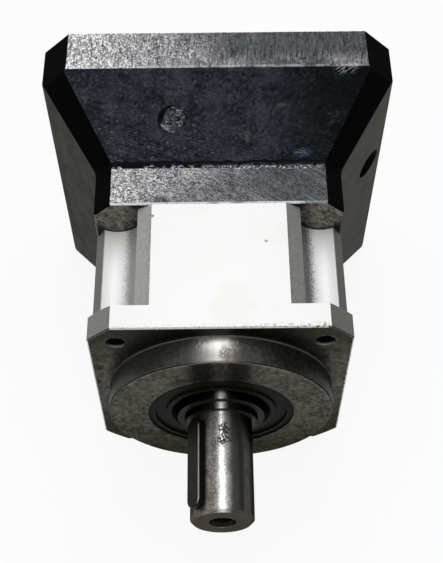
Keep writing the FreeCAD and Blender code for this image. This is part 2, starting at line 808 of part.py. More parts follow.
def make_sun_shaft():
    teeth = int(value("sun_teeth"))
    teeth_bar = external_teeth("sun_teeth_bar", teeth, "planet_start", "planet_width")
    teeth_bar.Placement = turned_about_axis(value("carrier_turn"))
    stem = new_body("sun_stem")
    turn(stem, "sun_stem_profile", "Revolution", (
        ("0", "planet_start + planet_width / 2"),
        ("neck_radius", "planet_start + planet_width / 2"),
        ("neck_radius", "input_bearing_start - input_shoulder_width"),
        ("input_shoulder_radius", "input_bearing_start - input_shoulder_width"),
        ("input_shoulder_radius", "input_bearing_start"),
        ("input_journal_radius", "input_bearing_start"),
        ("input_journal_radius", "nose_start"),
        ("nose_radius", "nose_start"),
        ("nose_radius", "nose_end"),
        ("motor_shaft_radius", "nose_end"),
        ("motor_shaft_radius", "motor_bore_start"),
        ("0", "motor_bore_start"),
    ))
    slit = new_sketch(stem, "nose_slit", "XY_Plane")
    draw_outline(slit, rectangle("-slit_width / 2", "slit_width / 2", "slit_start", "nose_end + overcut"))
    cut_slit = pocket(stem, slit, "4 * nose_radius")
    cut_slit.Midplane = True
    shaft = doc.addObject("Part::Fuse", "sun_shaft")
    shaft.Label = "sun_shaft"
    shaft.Base = teeth_bar
    shaft.Tool = stem
    sub_parts.append(shaft)


def make_clamp_collar():
    body = new_body("clamp_collar")
    turn(body, "clamp_profile", "Revolution", rectangle(
        "nose_radius + seat_gap", "clamp_outer_radius",
        "clamp_station - clamp_width / 2", "clamp_station + clamp_width / 2"))
    slit = cross_section(body, "clamp_slit", "clamp_station - clamp_width")
    slit_end = "clamp_outer_radius + overcut"
    draw_outline(slit, rectangle("-slit_width / 2", "slit_width / 2", "0", slit_end))
    pocket(body, slit, "2 * clamp_width")
    centre = ("clamp_station", "clamp_height")
    shank = new_sketch(body, "clamp_screw_hole", "YZ_Plane")
    draw_circle(shank, centre, "clamp_screw_radius + seat_gap")
    pocket(body, shank, "4 * clamp_outer_radius").Midplane = True
    head = new_sketch(body, "clamp_head_seat_hole", "YZ_Plane", "clamp_head_seat")
    draw_circle(head, centre, "clamp_head_radius + screw_clearance")
    pocket(body, head, "clamp_outer_radius", True)
    sub_parts.append(body)


# Bearings, circlips and shaft seals

def bearing(name, inner, outer, start, width, count):
    """Roller bearing: plain inner ring, rollers in the track of a ribbed outer ring, cage round them."""
    end = "%s + %s" % (start, width)
    section = "(%s - %s)" % (outer, inner)
    inner_race = "(%s + ring_wall_share * %s)" % (inner, section)
    outer_race = "(%s - ring_wall_share * %s)" % (outer, section)
    rib = outer_race + " - roller_rib"
    roller_start = start + " + roller_inset"
    roller_end = end + " - roller_inset"
    track = (roller_start + " - pocket_gap", roller_end + " + pocket_gap")
    turned_piece(name + "_inner_ring", rectangle(inner + " + seat_gap", inner_race, start, end))
    turned_piece(name + "_outer_ring", (
        (outer + " - seat_gap", start),
        (outer + " - seat_gap", end),
        (rib, end),
        (rib, track[1]),
        (outer_race, track[1]),
        (outer_race, track[0]),
        (rib, track[0]),
        (rib, start),
    ))
    reach = "(%s + %s) / 2" % (inner_race, outer_race)
    roller_radius = "((%s - %s) / 2 - running_gap)" % (outer_race, inner_race)
    make_rollers(name + "_rollers", count, value(reach), roller_radius, roller_start, roller_end)
    half_wall = "cage_share / 2 * (%s - %s)" % (outer_race, inner_race)
    cage = turned_piece(name + "_cage", rectangle(
        "%s - %s" % (reach, half_wall), "%s + %s" % (reach, half_wall),
        start + " + cage_inset", end + " - cage_inset"))
    window = new_sketch(cage, name + "_cage_window", "XY_Plane")
    half_window = "(%s + pocket_gap)" % roller_radius
    draw_outline(window, rectangle("-" + half_window, half_window, *track))
    around_axis(cage, [pocket(cage, window, outer, True)], count)


def make_rollers(label, count, reach, radius, start, end):
    rollers = []
    for i in range(count):
        roller = doc.addObject("Part::Cylinder", "%s_%d" % (label, i + 1))
        roller.setExpression("Radius", bound(radius))
        roller.setExpression("Height", bound("%s - (%s)" % (end, start)))
        along = FreeCAD.Placement(FreeCAD.Vector(0, value(start), 0), ALONG_AXIS)
        roller.Placement = turned_about_axis(FULL_TURN * i / count, reach) * along
        rollers.append(roller)
    grouped(label, rollers)


def make_circlip(label, bore, start):
    """Open spring ring in the groove behind a bearing, gap on top and a pierced lug at each end."""
    body = new_body(label)
    foot = start + " + seat_gap"
    thick = "clip_groove_width - 2 * seat_gap"
    inner = "(%s - clip_reach)" % bore
    ring = turn(body, label + "_profile", "Revolution", rectangle(
        inner, bore + " + clip_groove_depth - seat_gap", foot, "%s + %s" % (foot, thick)),
        FULL_TURN - value("clip_gap"))
    ring.Midplane = True
    for side, sign in (("left", ""), ("right", "-")):
        centre = ("-%s * cos(lug_angle)" % inner, "%s%s * sin(lug_angle)" % (sign, inner))
        lug = cross_section(body, "%s_%s_lug" % (label, side), foot)
        draw_circle(lug, centre, "lug_radius")
        pad(body, lug, thick, True)
        hole = cross_section(body, "%s_%s_lug_hole" % (label, side), start)
        draw_circle(hole, centre, "lug_hole_radius")
        pocket(body, hole, "clip_groove_width")
    body.Placement = FreeCAD.Placement(FreeCAD.Vector(), FreeCAD.Rotation(FreeCAD.Vector(0, 1, 0), 90))
    sub_parts.append(body)


def make_output_seal():
    face = "seal_recess - pilot_length"
    groove_floor = face + " + seal_groove_depth"
    lip = "seal_lip_start - pilot_length"
    turned_piece("output_seal", (
        ("seal_seat_radius - seat_gap", "seal_seat_end"),
        ("seal_seat_radius - seat_gap", face),
        ("seal_groove_outer", face),
        ("seal_groove_outer", groove_floor),
        ("seal_groove_inner", groove_floor),
        ("seal_groove_inner", face),
        ("journal_radius + seal_mouth", face),
        ("journal_radius + running_gap", lip),
        ("journal_radius + running_gap", lip + " + seal_lip_width"),
        ("journal_radius + seal_back", "seal_seat_end"),
    ))


def make_input_seal():
    start = "seal_pocket_end - input_seal_width"
    lip = "seal_pocket_end - seal_lip_start"
    turned_piece("input_seal", (
        ("input_bearing_radius - seat_gap", start),
        ("input_bearing_radius - seat_gap", "seal_pocket_end"),
        ("input_journal_radius + seal_mouth", "seal_pocket_end"),
        ("input_journal_radius + running_gap", lip),
        ("input_journal_radius + running_gap", lip + " - seal_lip_width"),
        ("input_journal_radius + seal_back", start),
    ))


make_gear_housing()
make_ring_gear()
make_motor_adapter()
make_adapter_screws()
make_output_seal()
bearing("front_bearing", "front_seat_radius", "front_bearing_radius",
        "front_bearing_start", "front_bearing_width", FRONT_ROLLERS)
make_circlip("front_bearing_circlip", "front_bearing_radius", FRONT_BEARING_END)
make_output_shaft()
make_output_key()
make_planets()
make_carrier_rear_plate()
make_carrier_screws()
bearing("rear_bearing", "rear_hub_radius", "rear_bearing_radius",
        "rear_bearing_start", "rear_bearing_width", REAR_ROLLERS)
make_sun_shaft()
bearing("input_bearing", "input_journal_radius", "input_bearing_radius",
        "input_bearing_start", "input_bearing_width", INPUT_ROLLERS)
make_circlip("input_bearing_circlip", "input_bearing_radius", INPUT_BEARING_END)
make_input_seal()
make_clamp_collar()
make_clamp_screw()

doc.recompute()
for item in doc.Objects:
    if "Invalid" in item.State or "Error" in item.State:
        raise RuntimeError("failed object: " + item.Label)
for piece in sub_parts:
    if piece.Shape.isNull() or not piece.Shape.isValid():
        raise RuntimeError("bad shape: " + piece.Label)

os.makedirs("parts", exist_ok=True)
for piece in sub_parts:
    piece.Shape.exportStep("parts/%s.step" % piece.Label)
    print("%-28s solids %d  volume %.0f mm3" % (piece.Label, len(piece.Shape.Solids), piece.Shape.Volume))
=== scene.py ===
import functools
import json
import math
import random

import bmesh
import bpy
from mathutils import Matrix, Vector


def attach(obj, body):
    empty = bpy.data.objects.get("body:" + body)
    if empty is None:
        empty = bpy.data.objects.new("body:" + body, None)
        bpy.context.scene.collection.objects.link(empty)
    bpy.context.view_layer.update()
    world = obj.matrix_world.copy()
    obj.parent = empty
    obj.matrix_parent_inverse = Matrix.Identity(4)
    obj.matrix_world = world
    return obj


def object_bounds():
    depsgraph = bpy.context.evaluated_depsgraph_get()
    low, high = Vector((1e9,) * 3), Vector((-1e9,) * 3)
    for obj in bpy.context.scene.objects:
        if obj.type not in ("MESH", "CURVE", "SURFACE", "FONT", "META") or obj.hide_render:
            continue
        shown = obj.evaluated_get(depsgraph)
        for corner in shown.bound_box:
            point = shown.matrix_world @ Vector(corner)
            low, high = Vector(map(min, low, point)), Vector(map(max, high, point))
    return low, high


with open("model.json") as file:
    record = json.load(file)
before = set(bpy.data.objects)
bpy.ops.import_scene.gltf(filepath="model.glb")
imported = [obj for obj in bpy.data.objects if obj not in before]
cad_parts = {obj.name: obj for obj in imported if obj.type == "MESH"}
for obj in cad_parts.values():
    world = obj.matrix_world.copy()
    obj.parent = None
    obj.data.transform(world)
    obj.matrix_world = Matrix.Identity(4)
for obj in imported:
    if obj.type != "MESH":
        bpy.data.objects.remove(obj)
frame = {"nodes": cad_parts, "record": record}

# Planetary gear reducer: bright fluted housing, black tapered motor adapter, keyed output shaft.
# The gear axis is Y, the shaft points to -Y, the flange's front face is at Y 0 and +Z is up.
# Finishes and small pieces are drawn in millimetres of the part's frame.

cad_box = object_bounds()
MM = 0.001

# Stations along the gear axis
SHAFT_END = -50.0
PILOT_FRONT = -10.0
FLANGE_BACK = 9.0
NECK_START = 50.0
TAPER_START = 68.0
SLOPE_SPLIT = (80.0, 90.0)
TAPER_END = 97.0
MOTOR_FACE = 114.0

# Housing and adapter: half widths, turned radii, and the places and radii of holes and flutes
HOUSING_HALF = 45.0
BODY_TURNING = 50.9
FLANGE_TURNING = 58.1
BORE_RADIUS = 38.4
BOLT_OFFSET = 35.36
BOLT_RADIUS = 3.4
FLUTE_OFFSET = 37.05
FLUTE_RADIUS = 9.5
NECK_HALF = 45.0
NECK_CORNER = 6.3
MOTOR_HALF = 65.0
ACCESS_Y = 88.7
ACCESS_Z = 16.2
ACCESS_RADIUS = 5.5
SIDES = 4

# Shaft, key and seal
SHAFT_RADIUS = 11.0
CENTRE_HOLE = 4.7
COUNTERSINK = 1.3
KEY_TURN = math.radians(47)
SEAL_LINE = 18.6
SEAL_RIM = 24.4

# Tapped holes in the shaft's end and the motor face
THREAD_RADIUS = 3.4
THREAD_PITCH = 1.25
THREAD_DEPTH = 13.0
MOTOR_BOLT_CIRCLE = 72.5

# Scar of the casting gate on the upper slope
SCAR_X = -16.3
SCAR_Y = 81.2
SCAR_REACH = 4.4
SCAR_SQUASH = 0.75
SCAR_TAIL = math.radians(228)


# Node trees

class Wire:
    """One output of a node. Arithmetic on it adds Math nodes to the same tree."""

    def __init__(self, nodes, socket):
        self.nodes = nodes
        self.socket = socket

    def maths(self, operation, *values):
        return self.nodes.add("ShaderNodeMath", {"operation": operation}, dict(enumerate(values)))

    def __add__(self, other):
        return self.maths("ADD", self, other)

    def __radd__(self, other):
        return self.maths("ADD", other, self)

    def __sub__(self, other):
        return self.maths("SUBTRACT", self, other)

    def __rsub__(self, other):
        return self.maths("SUBTRACT", other, self)

    def __mul__(self, other):
        return self.maths("MULTIPLY", self, other)

    def __rmul__(self, other):
        return self.maths("MULTIPLY", other, self)

    def __truediv__(self, other):
        return self.maths("DIVIDE", self, other)

    def __pow__(self, other):
        return self.maths("POWER", self, other)

    def __neg__(self):
        return self.maths("MULTIPLY", self, -1.0)

    def __abs__(self):
        return self.maths("ABSOLUTE", self)

    def or_more(self, other):
        return self.maths("MAXIMUM", self, other)

    def or_less(self, other):
        return self.maths("MINIMUM", self, other)

    def rise(self, low, high):
        """0 up to low, 1 from high, and smooth between them."""
        return self.nodes.add("ShaderNodeMapRange", {"interpolation_type": "SMOOTHSTEP"},
                              {"Value": self, "From Min": low, "From Max": high})

    def near(self, centre, half, soft):
        """1 within half of centre, 0 from soft further out."""
        return 1 - abs(self - centre).rise(half, half + soft)


def most(wires):
    """The largest of several wires."""
    return functools.reduce(Wire.or_more, wires)


class Nodes:
    """A node tree whose nodes are made by type, settings and socket values."""

    def __init__(self, tree):
        self.tree = tree

    def add(self, kind, settings=None, sockets=None, output=0):
        node = self.tree.nodes.new(kind)
        for name, setting in (settings or {}).items():
            setattr(node, name, setting)
        for name, amount in (sockets or {}).items():
            self.feed(node.inputs[name], amount)
        return Wire(self, node.outputs[output])

    def feed(self, socket, amount):
        if isinstance(amount, Wire):
            self.tree.links.new(amount.socket, socket)
        elif socket.type == "RGBA":
            socket.default_value = (*amount, 1.0)
        else:
            socket.default_value = amount

    def mix(self, share, first, second):
        """Colour that goes from first to second as share goes from 0 to 1."""
        return self.add("ShaderNodeMix", {"data_type": "RGBA"}, {0: share, 6: first, 7: second}, output=2)

    def ray(self, kind):
        """1 for rays of the kind, 0 for others."""
        return self.add("ShaderNodeLightPath", output="Is %s Ray" % kind)


class Finish(Nodes):
    """Material of one slot, drawn in millimetres of the part's own frame."""

    def __init__(self, name):
        self.material = bpy.data.materials.new(name)
        self.material.use_nodes = True
        super().__init__(self.material.node_tree)
        self.shader = self.tree.nodes["Principled BSDF"]
        here = self.add("ShaderNodeTexCoord", output="Object")
        self.point = self.vector("SCALE", here, 1 / MM)
        self.x, self.y, self.z = self.axes(self.point)
        self.radius = (self.x * self.x + self.z * self.z) ** 0.5
        facing = self.add("ShaderNodeTexCoord", output="Normal")
        self.face_x, self.face_y, self.face_z = self.axes(facing)

    def vector(self, operation, first, second):
        slot = "Scale" if operation == "SCALE" else 1
        output = "Value" if operation == "DISTANCE" else "Vector"
        return self.add("ShaderNodeVectorMath", {"operation": operation}, {0: first, slot: second}, output)

    def axes(self, vector):
        return [self.add("ShaderNodeSeparateXYZ", None, {0: vector}, output=name) for name in "XYZ"]

    def off_corner(self, offset):
        """Distance from the nearest of four lines along Y that stand at the offset in X and in Z."""
        return ((abs(self.x) - offset) ** 2 + (abs(self.z) - offset) ** 2) ** 0.5

    def spread(self, size, stretch=(1, 1, 1), shift=0.0, spin=(0, 0, 0)):
        """Coordinates in which features of the size, in millimetres, are about one unit long."""
        turned = self.add("ShaderNodeVectorRotate", {"rotation_type": "EULER_XYZ"}, {
            "Vector": self.vector("ADD", self.point, (shift, shift, shift)),
            "Rotation": [math.radians(angle) for angle in spin]})
        return self.vector("MULTIPLY", turned, [1 / (size * factor) for factor in stretch])

    def cloud(self, size, detail=3.0, harsh=0.5, **places):
        """Cloudy values about 0.5; a harsher cloud has stronger fine detail."""
        return self.add("ShaderNodeTexNoise", None, {
            "Vector": self.spread(size, **places), "Scale": 1.0, "Detail": detail, "Roughness": harsh})

    def grains(self, size, **places):
        """Small cells, each with a value of its own between 0 and 1."""
        return self.axes(self.add("ShaderNodeTexVoronoi", None, {
            "Vector": self.spread(size, **places), "Scale": 1.0}, output="Color"))[0]

    def specks(self, size, cover, **places):
        """Scattered spots: 1 inside a spot, 0 outside it."""
        cells = self.add("ShaderNodeTexVoronoi", None, {"Vector": self.spread(size, **places), "Scale": 1.0})
        return 1 - cells.rise(cover * 0.6, cover)

    def rings(self, size, detail=2.0):
        """Values about 0.5 that change with the distance from the gear axis only."""
        return self.add("ShaderNodeTexNoise", {"noise_dimensions": "1D"}, {
            "W": self.radius / size, "Scale": 1.0, "Detail": detail})

    def drawn_lines(self):
        """Fine lines along the gear axis."""
        return self.cloud(0.3, 2, stretch=(1, 12, 1), shift=3)

    def scratches(self, length, share, **places):
        """Thin straight marks along X before they are spun; a larger share gives fewer of them."""
        width = 0.22
        long = length / width
        return self.cloud(width, 1.0, stretch=(long, 1, long), **places).rise(share, share + 0.05)

    def mark(self, place, reach, ragged):
        """One ragged spot round a place: 1 inside it, 0 outside it."""
        away = self.vector("DISTANCE", self.point, place)
        away = away + (self.cloud(reach * 0.5, 4, shift=place[0]) - 0.5) * ragged
        return 1 - away.rise(reach * 0.7, reach)

    def marks(self, spots):
        """Several ragged spots, each given by its place, reach and raggedness."""
        return most([self.mark(*spot) for spot in spots])

    def patch(self, x, y, half_x, half_y, soft):
        """Ragged patch of the upper side of the adapter: 1 in the middle, 0 from its outline."""
        away = (((self.x - x) / half_x) ** 2 + ((self.y - y) / half_y) ** 2) ** 0.5
        ragged = (self.cloud(min(half_x, half_y) * 0.8, 4, shift=x + y) - 0.5) * soft
        return (1 - (away + ragged).rise(0.35, 1.0)) * self.z.rise(20, 30)

    def constant(self, name, amount):
        self.feed(self.shader.inputs[name], amount)

    def done(self, colour, rough, metal, height, depth):
        """Join the finish to its shader; height is in units of depth millimetres."""
        bump = self.add("ShaderNodeBump", None, {"Strength": 1.0, "Distance": depth * MM, "Height": height})
        self.feed(self.shader.inputs["Base Color"], colour)
        self.feed(self.shader.inputs["Roughness"], rough)
        self.feed(self.shader.inputs["Metallic"], metal)
        self.feed(self.shader.inputs["Normal"], bump)
        return self.material


# Housing: colours and spots. Of a pair, the first shows where the share that mixes them is 0.

HOUSING_SHEEN = (0.25, 0.25, 0.24)
SATIN = ((0.69, 0.69, 0.685), (0.80, 0.80, 0.795))
SATIN_CLOUD = (0.62, 0.60, 0.56)
SATIN_OIL = (0.66, 0.61, 0.47)
SATIN_DOT = (0.13, 0.12, 0.10)
SATIN_DIRT = (0.16, 0.10, 0.07)
# Flutes: the bright pair is partly their machined finish and partly painted light; the next pair is grime
# with painted shade, darker to the right.
FLUTE = ((0.88, 0.88, 0.875), (0.95, 0.95, 0.945))
FLUTE_GRIME_AND_SHADE = ((0.19, 0.187, 0.176), (0.065, 0.064, 0.06))
# Turned corners: each pair goes from the left to a darker right, which is painted shade.
CORNER_DARK = ((0.35, 0.348, 0.325), (0.18, 0.181, 0.172))
CORNER_LIGHT = ((0.50, 0.498, 0.466), (0.265, 0.267, 0.253))
# Painted shade for upright corner faces, also laid on the flange's corners.
CORNER_SIDE_SHADE = (0.085, 0.084, 0.078)
CORNER_DIRT = (0.05, 0.045, 0.04)
BEVEL_DIRT = ((0.02, 0.018, 0.015), (0.09, 0.085, 0.08))
FRONT = ((0.048, 0.046, 0.0405), (0.168, 0.162, 0.146))
FRONT_LOW = (0.046, 0.0455, 0.039)
# Painted reflection of the shaft in the pilot face.
FRONT_SHAFT_REFLECTION = (0.044, 0.043, 0.037)
# Painted shade along the top of the flange front.
FRONT_TOP_SHADE = (0.048, 0.0475, 0.040)
FRONT_RUST = (0.048, 0.043, 0.036)
BARREL = ((0.23, 0.224, 0.21), (0.44, 0.428, 0.402))
# Painted shade on the pilot's round side, away from its middle.
BARREL_SIDE_SHADE = ((0.012, 0.0115, 0.0095), (0.036, 0.0345, 0.030))
# Painted highlight along the pilot's root.
BARREL_ROOT_HIGHLIGHT = (0.45, 0.44, 0.41)
# Painted highlight down the middle of the pilot's round side.
BARREL_HIGHLIGHT = (0.85, 0.835, 0.80)
# Painted shade on the pilot's front rim.
BARREL_RIM_SHADE = (0.006, 0.006, 0.005)
BARREL_STAIN = (0.10, 0.084, 0.07)
# Painted shade in the holes, and painted light where their walls face up at the mouth.
HOLE_WALL_SHADE_AND_LIGHT = ((0.005, 0.0048, 0.004), (0.46, 0.45, 0.42))
# Painted highlight round the bolt holes.
HOLE_RIM_HIGHLIGHT = (0.26, 0.255, 0.235)

OIL_SPOT = ((4, 9, 45), 9, 14)
TOP_DOTS = (((16.2, 34, 45), 0.7, 0.5), ((-23.6, 45, 45), 0.9, 0.6))
RUST_SPOTS = (((36, 0, 23.4), 1.6, 1.0), ((-43.2, 0, 17.7), 3.0, 3.0), ((-13.8, -10, 26.4), 2.2, 2.6))
BARREL_SPOTS = (((2.0, -7.0, 40), 3.4, 3), ((4.6, -7.6, 39.6), 2.4, 3))


def satin_flats(f, grain, fine, crumbs):
    """Flat sides: bright satin with faint stains, a few dots and brown dirt along the front edge."""
    satin = f.mix(grain * 0.5 + fine * 0.5, *SATIN)
    satin = f.mix(f.cloud(16, 5).rise(0.52, 0.8) * 0.2, satin, SATIN_CLOUD)
    satin = f.mix(f.mark(*OIL_SPOT) * 0.14, satin, SATIN_OIL)
    dots = f.specks(8, 0.05, shift=3) * f.cloud(10, 2, shift=8).rise(0.5, 0.6)
    satin = f.mix(dots.or_more(f.marks(TOP_DOTS)) * 0.7, satin, SATIN_DOT)
    dirt = (1 - f.y.rise(0.4, 2.4)) * crumbs * (0.25 + f.x.rise(0, 40) * 0.75)
    return f.mix(dirt, satin, SATIN_DIRT)


def bolt_flutes(f, satin, hollow, grain, fine, sandy):
    """Flutes behind the bolt holes: bright where they open, partly painted light; sandy and grimy in their
    depth, where painted shade darkens them, more to the right.
    """
    # Partly painted light: the flutes take a brighter colour than the flats.
    satin = f.mix(hollow, satin, f.mix(grain * 0.5 + fine * 0.5, *FLUTE))
    # Grime and painted shade in the flutes' depth.
    deep = hollow * (1 - (abs(abs(f.x) - abs(f.z)) + sandy * 2.4 - 1.2).rise(2.2, 7.8))
    # Painted shade: darker to the right.
    grime_and_shade = f.mix(f.x.rise(-30, 30), *FLUTE_GRIME_AND_SHADE)
    return f.mix(deep * (0.7 + fine * 0.2 + f.x.rise(0, 30) * 0.12), satin, grime_and_shade)


def turned_corners(f, granular, crumbs):
    """Turned corners: granular grey with painted shade to the right and where they stand upright; darker on
    the flange too.
    """
    # Painted shade: the corners darken to the right.
    shade = f.x.rise(-38, 38)
    grey = f.mix(granular.rise(0.15, 0.85), f.mix(shade, *CORNER_DARK), f.mix(shade, *CORNER_LIGHT))
    # Painted shade where the corner faces stand upright.
    upright = abs(f.face_x).rise(0.72, 0.84) * (0.8 + shade * 0.12)
    on_flange = 1 - f.y.rise(FLANGE_BACK - 0.1, FLANGE_BACK + 0.1)
    grey = f.mix(upright.or_more(on_flange * 0.55), grey, CORNER_SIDE_SHADE)
    brink = abs(f.x).or_more(abs(f.z)).rise(HOUSING_HALF - 1.1, HOUSING_HALF - 0.1) * crumbs
    return f.mix(brink * 0.35, grey, CORNER_DIRT)


def stained_front(f, fine, mottle, pilot):
    """Front faces of flange and pilot: mottled bare steel with rust, darker low down, with painted shade
    along the top of the flange and a painted reflection of the shaft on the pilot.
    """
    blotch = f.cloud(7, 5, shift=42)
    bare = f.mix(mottle.rise(0.3, 0.7) * 0.56 + blotch.rise(0.32, 0.68) * 0.28 + fine * 0.3, *FRONT)
    bare = f.mix((1 - f.z.rise(-34, 0)) * 0.65, bare, FRONT_LOW)
    # Painted reflection: dark stripes where the shaft mirrors in the pilot face.
    shaft_reflection = abs(f.x).near(6.5, 2, 3) * f.z.rise(22, 28) * pilot
    bare = f.mix(shaft_reflection * 0.7, bare, FRONT_SHAFT_REFLECTION)
    # Painted shade: the flange front darkens towards its top.
    bare = f.mix(f.z.rise(14, 43) * (1 - pilot) * 0.85, bare, FRONT_TOP_SHADE)
    rust = f.cloud(2.2, 6, shift=71).rise(0.6, 0.68).or_more(f.marks(RUST_SPOTS))
    return f.mix(rust * 0.6, bare, FRONT_RUST)


def pilot_barrel(f, mottle, aside, edge):
    """Round side of the pilot: painted shade to both sides of a grainy painted highlight in the middle, a
    painted highlight at the root, painted shade on the front rim, and a stain.
    """
    lathe = f.cloud(0.2, 2, stretch=(80, 1, 80))
    steel = f.mix(lathe * 0.4 + mottle * 0.6, *BARREL)
    # Painted shade to both sides of the pilot's middle, a little darker to the right.
    side_shade = f.mix(mottle.rise(0.35, 0.65), *BARREL_SIDE_SHADE)
    steel = f.mix(aside * (0.88 + f.x.rise(5, 25) * 0.1), steel, side_shade)
    # Painted highlight along the root of the pilot.
    steel = f.mix(f.y.rise(-0.8, -0.5) * 0.5, steel, BARREL_ROOT_HIGHLIGHT)
    # Painted highlight, grainy at its edges, down the middle of the pilot's round side.
    sparkle = f.grains(0.5, stretch=(1, 2.5, 1), shift=27)
    middle = 1 - (abs(f.x + 1) + sparkle * 4 - 2).rise(1, 7)
    steel = f.mix(f.y.rise(-8, -1) * middle * 0.85, steel, BARREL_HIGHLIGHT)
    # Painted shade on the front rim, away from the middle.
    steel = f.mix(edge, steel, BARREL_RIM_SHADE)
    stain = f.marks(BARREL_SPOTS) * f.grains(0.45, shift=3).rise(0.0, 0.7)
    return f.mix(stain * 0.85, steel, BARREL_STAIN)


def bolt_holes(f, colour, front, outer, crumbs):
    """Painted shade on the walls of bolt holes and bore, painted light on them at the mouth, and a broken
    painted highlight round each bolt hole.
    """
    away = f.off_corner(BOLT_OFFSET)
    in_hole = 1 - away.rise(BOLT_RADIUS + 0.1, BOLT_RADIUS + 0.2)
    in_bore = 1 - f.radius.rise(BORE_RADIUS - 0.1, BORE_RADIUS + 0.1)
    # Painted light on walls facing up near the mouth, painted shade deeper in.
    lit = f.face_z.rise(0.2, 0.9) * (1 - f.y.rise(0.3, 1.3))
    colour = f.mix(in_hole.or_more(in_bore) * outer, colour, f.mix(lit, *HOLE_WALL_SHADE_AND_LIGHT))
    # Painted highlight, broken, round each bolt hole.
    rim = away.near(BOLT_RADIUS + 0.35, 0.2, 0.15) * front * (1 - f.y.rise(0.5, 1.0)) * crumbs
    return f.mix(rim * 0.35, colour, HOLE_RIM_HIGHLIGHT)


def satin_housing():
    """Bright satin top and sides, grey turned corners, dark stained front and pilot, with painted light,
    shade and reflection on several of them.
    """
    f = Finish("satin_housing")
    f.constant("Specular Tint", HOUSING_SHEEN)
    fine = f.cloud(0.5, 4)
    grain = f.cloud(0.35, 3, stretch=(1, 40, 1))
    sandy = f.grains(0.4, shift=14)
    granular = f.cloud(0.45, 5, shift=4) * 0.6 + sandy * 0.4
    mottle = f.cloud(1.6, 5, shift=20)
    crumbs = f.cloud(0.9, 4, shift=3).rise(0.5, 0.6)

    slant = abs(f.face_x).or_less(abs(f.face_z)).rise(0.38, 0.43)
    turned = slant * most([f.radius.near(size, 0.25, 0.1) for size in (BODY_TURNING, FLANGE_TURNING)])
    front = (-f.face_y).rise(0.8, 0.9)
    bevel = (-f.face_y).rise(0.25, 0.4) * (1 - front) * slant
    pilot = 1 - f.y.rise(-0.01, -0.002)
    barrel = pilot * (1 - front)
    outer = (1 - front) * (1 - barrel)
    hollow = f.off_corner(FLUTE_OFFSET).near(FLUTE_RADIUS, 0.3, 0.2)
    hollow = hollow * f.y.rise(FLANGE_BACK, FLANGE_BACK + 0.2)
    # Mask of the painted shade on the pilot's round side: both sides of its middle.
    aside = (f.x * 1.2 + mottle * 8 - 4).rise(-1, 9).or_more((mottle * 6 - 3 - f.x).rise(1, 12))
    # Mask of the painted shade on the pilot's front rim, away from its middle.
    edge = (1 - f.y.rise(PILOT_FRONT + 0.2, PILOT_FRONT + 0.8)) * abs(f.x).rise(6, 14)

    satin = satin_flats(f, grain, fine, crumbs)
    satin = bolt_flutes(f, satin, hollow, grain, fine, sandy)
    colour = f.mix(turned, satin, turned_corners(f, granular, crumbs))
    colour = f.mix(bevel * 0.9, colour, f.mix(crumbs, *BEVEL_DIRT))
    colour = f.mix(front, colour, stained_front(f, fine, mottle, pilot))
    colour = f.mix(barrel, colour, pilot_barrel(f, mottle, aside, edge))
    colour = bolt_holes(f, colour, front, outer, crumbs)

    rough = 0.40 + grain * 0.08 + turned * 0.08
    rough = rough - front * (0.14 - mottle * 0.14) - barrel * (0.12 - edge * 0.2)
    lathe_face = f.rings(0.22) * front * pilot
    height = fine * 0.6 + grain * 0.4 + turned * granular * 2 + front * mottle * 0.6 + lathe_face * 2.5
    blasted = turned * outer
    metal = 1 - blasted * 0.7 - outer * (1 - blasted) * 0.4 - barrel * aside * 0.35
    return f.done(colour, rough, metal * (1 - hollow * 0.6), height, 0.012)


# Adapter: colours, spots and patches

GROUND_DARK = (0.028, 0.030, 0.034)
# Painted light: from the dim to the lit tone of the ground faces.
GROUND_PAINTED_LIGHT = ((0.175, 0.18, 0.19), (0.90, 0.905, 0.915))
GROUND_SEAM = (0.03, 0.03, 0.032)
SLOPE = ((0.007, 0.009, 0.0125), (0.038, 0.045, 0.057))
# Painted shade to the right of the slopes.
SLOPE_RIGHT_SHADE = (0.003, 0.004, 0.0055)
SLOPE_SPECKLE = (0.085, 0.092, 0.103)
# Painted glints on the slopes.
SLOPE_GLINT = (0.15, 0.16, 0.175)
SLOPE_HOLLOW = (0.003, 0.0038, 0.005)
SLOPE_SCRATCH = (0.11, 0.12, 0.135)
SLOPE_CHALK = (0.10, 0.105, 0.10)
SLOPE_DUST = (0.30, 0.31, 0.32)
# Painted shade, darkening the slopes again to the right.
SLOPE_SHADE = (0.002, 0.0025, 0.0035)
SLOPE_SCUFF = (0.10, 0.165, 0.23)
SCAR_GRAIN = (0.20, 0.21, 0.235)
# Painted shadow on the gate scar's upper side.
SCAR_SHADOW = (0.002, 0.002, 0.003)
# Painted highlight on the ledge below the gate scar.
SCAR_LEDGE_HIGHLIGHT = (0.34, 0.35, 0.38)
SIDE_SLOPE = ((0.044, 0.043, 0.039), (0.090, 0.087, 0.079))
SIDE_SLOPE_RIGHT = (0.125, 0.122, 0.112)
# Painted shade inside the access hole.
ACCESS_WALL_SHADE = (0.002, 0.002, 0.002)
CHAMFER = ((0.0015, 0.0015, 0.0018), (0.03, 0.03, 0.03))
NECK_FACE = ((0.02, 0.017, 0.014), (0.27, 0.249, 0.217))
# Painted shade on the neck's front round the flutes.
NECK_FACE_SHADE = (0.014, 0.011, 0.009)
REAR = ((0.105, 0.103, 0.098), (0.27, 0.267, 0.258))
REAR_BRUISE = (0.48, 0.475, 0.46)
REAR_OIL = (0.035, 0.031, 0.026)
BARE_EDGE = (0.78, 0.78, 0.77)
# Painted shade in the crease at the slopes' foot, and the black of the chipped paint.
FOOT_SHADE_AND_PAINT = (0.003, 0.003, 0.004)

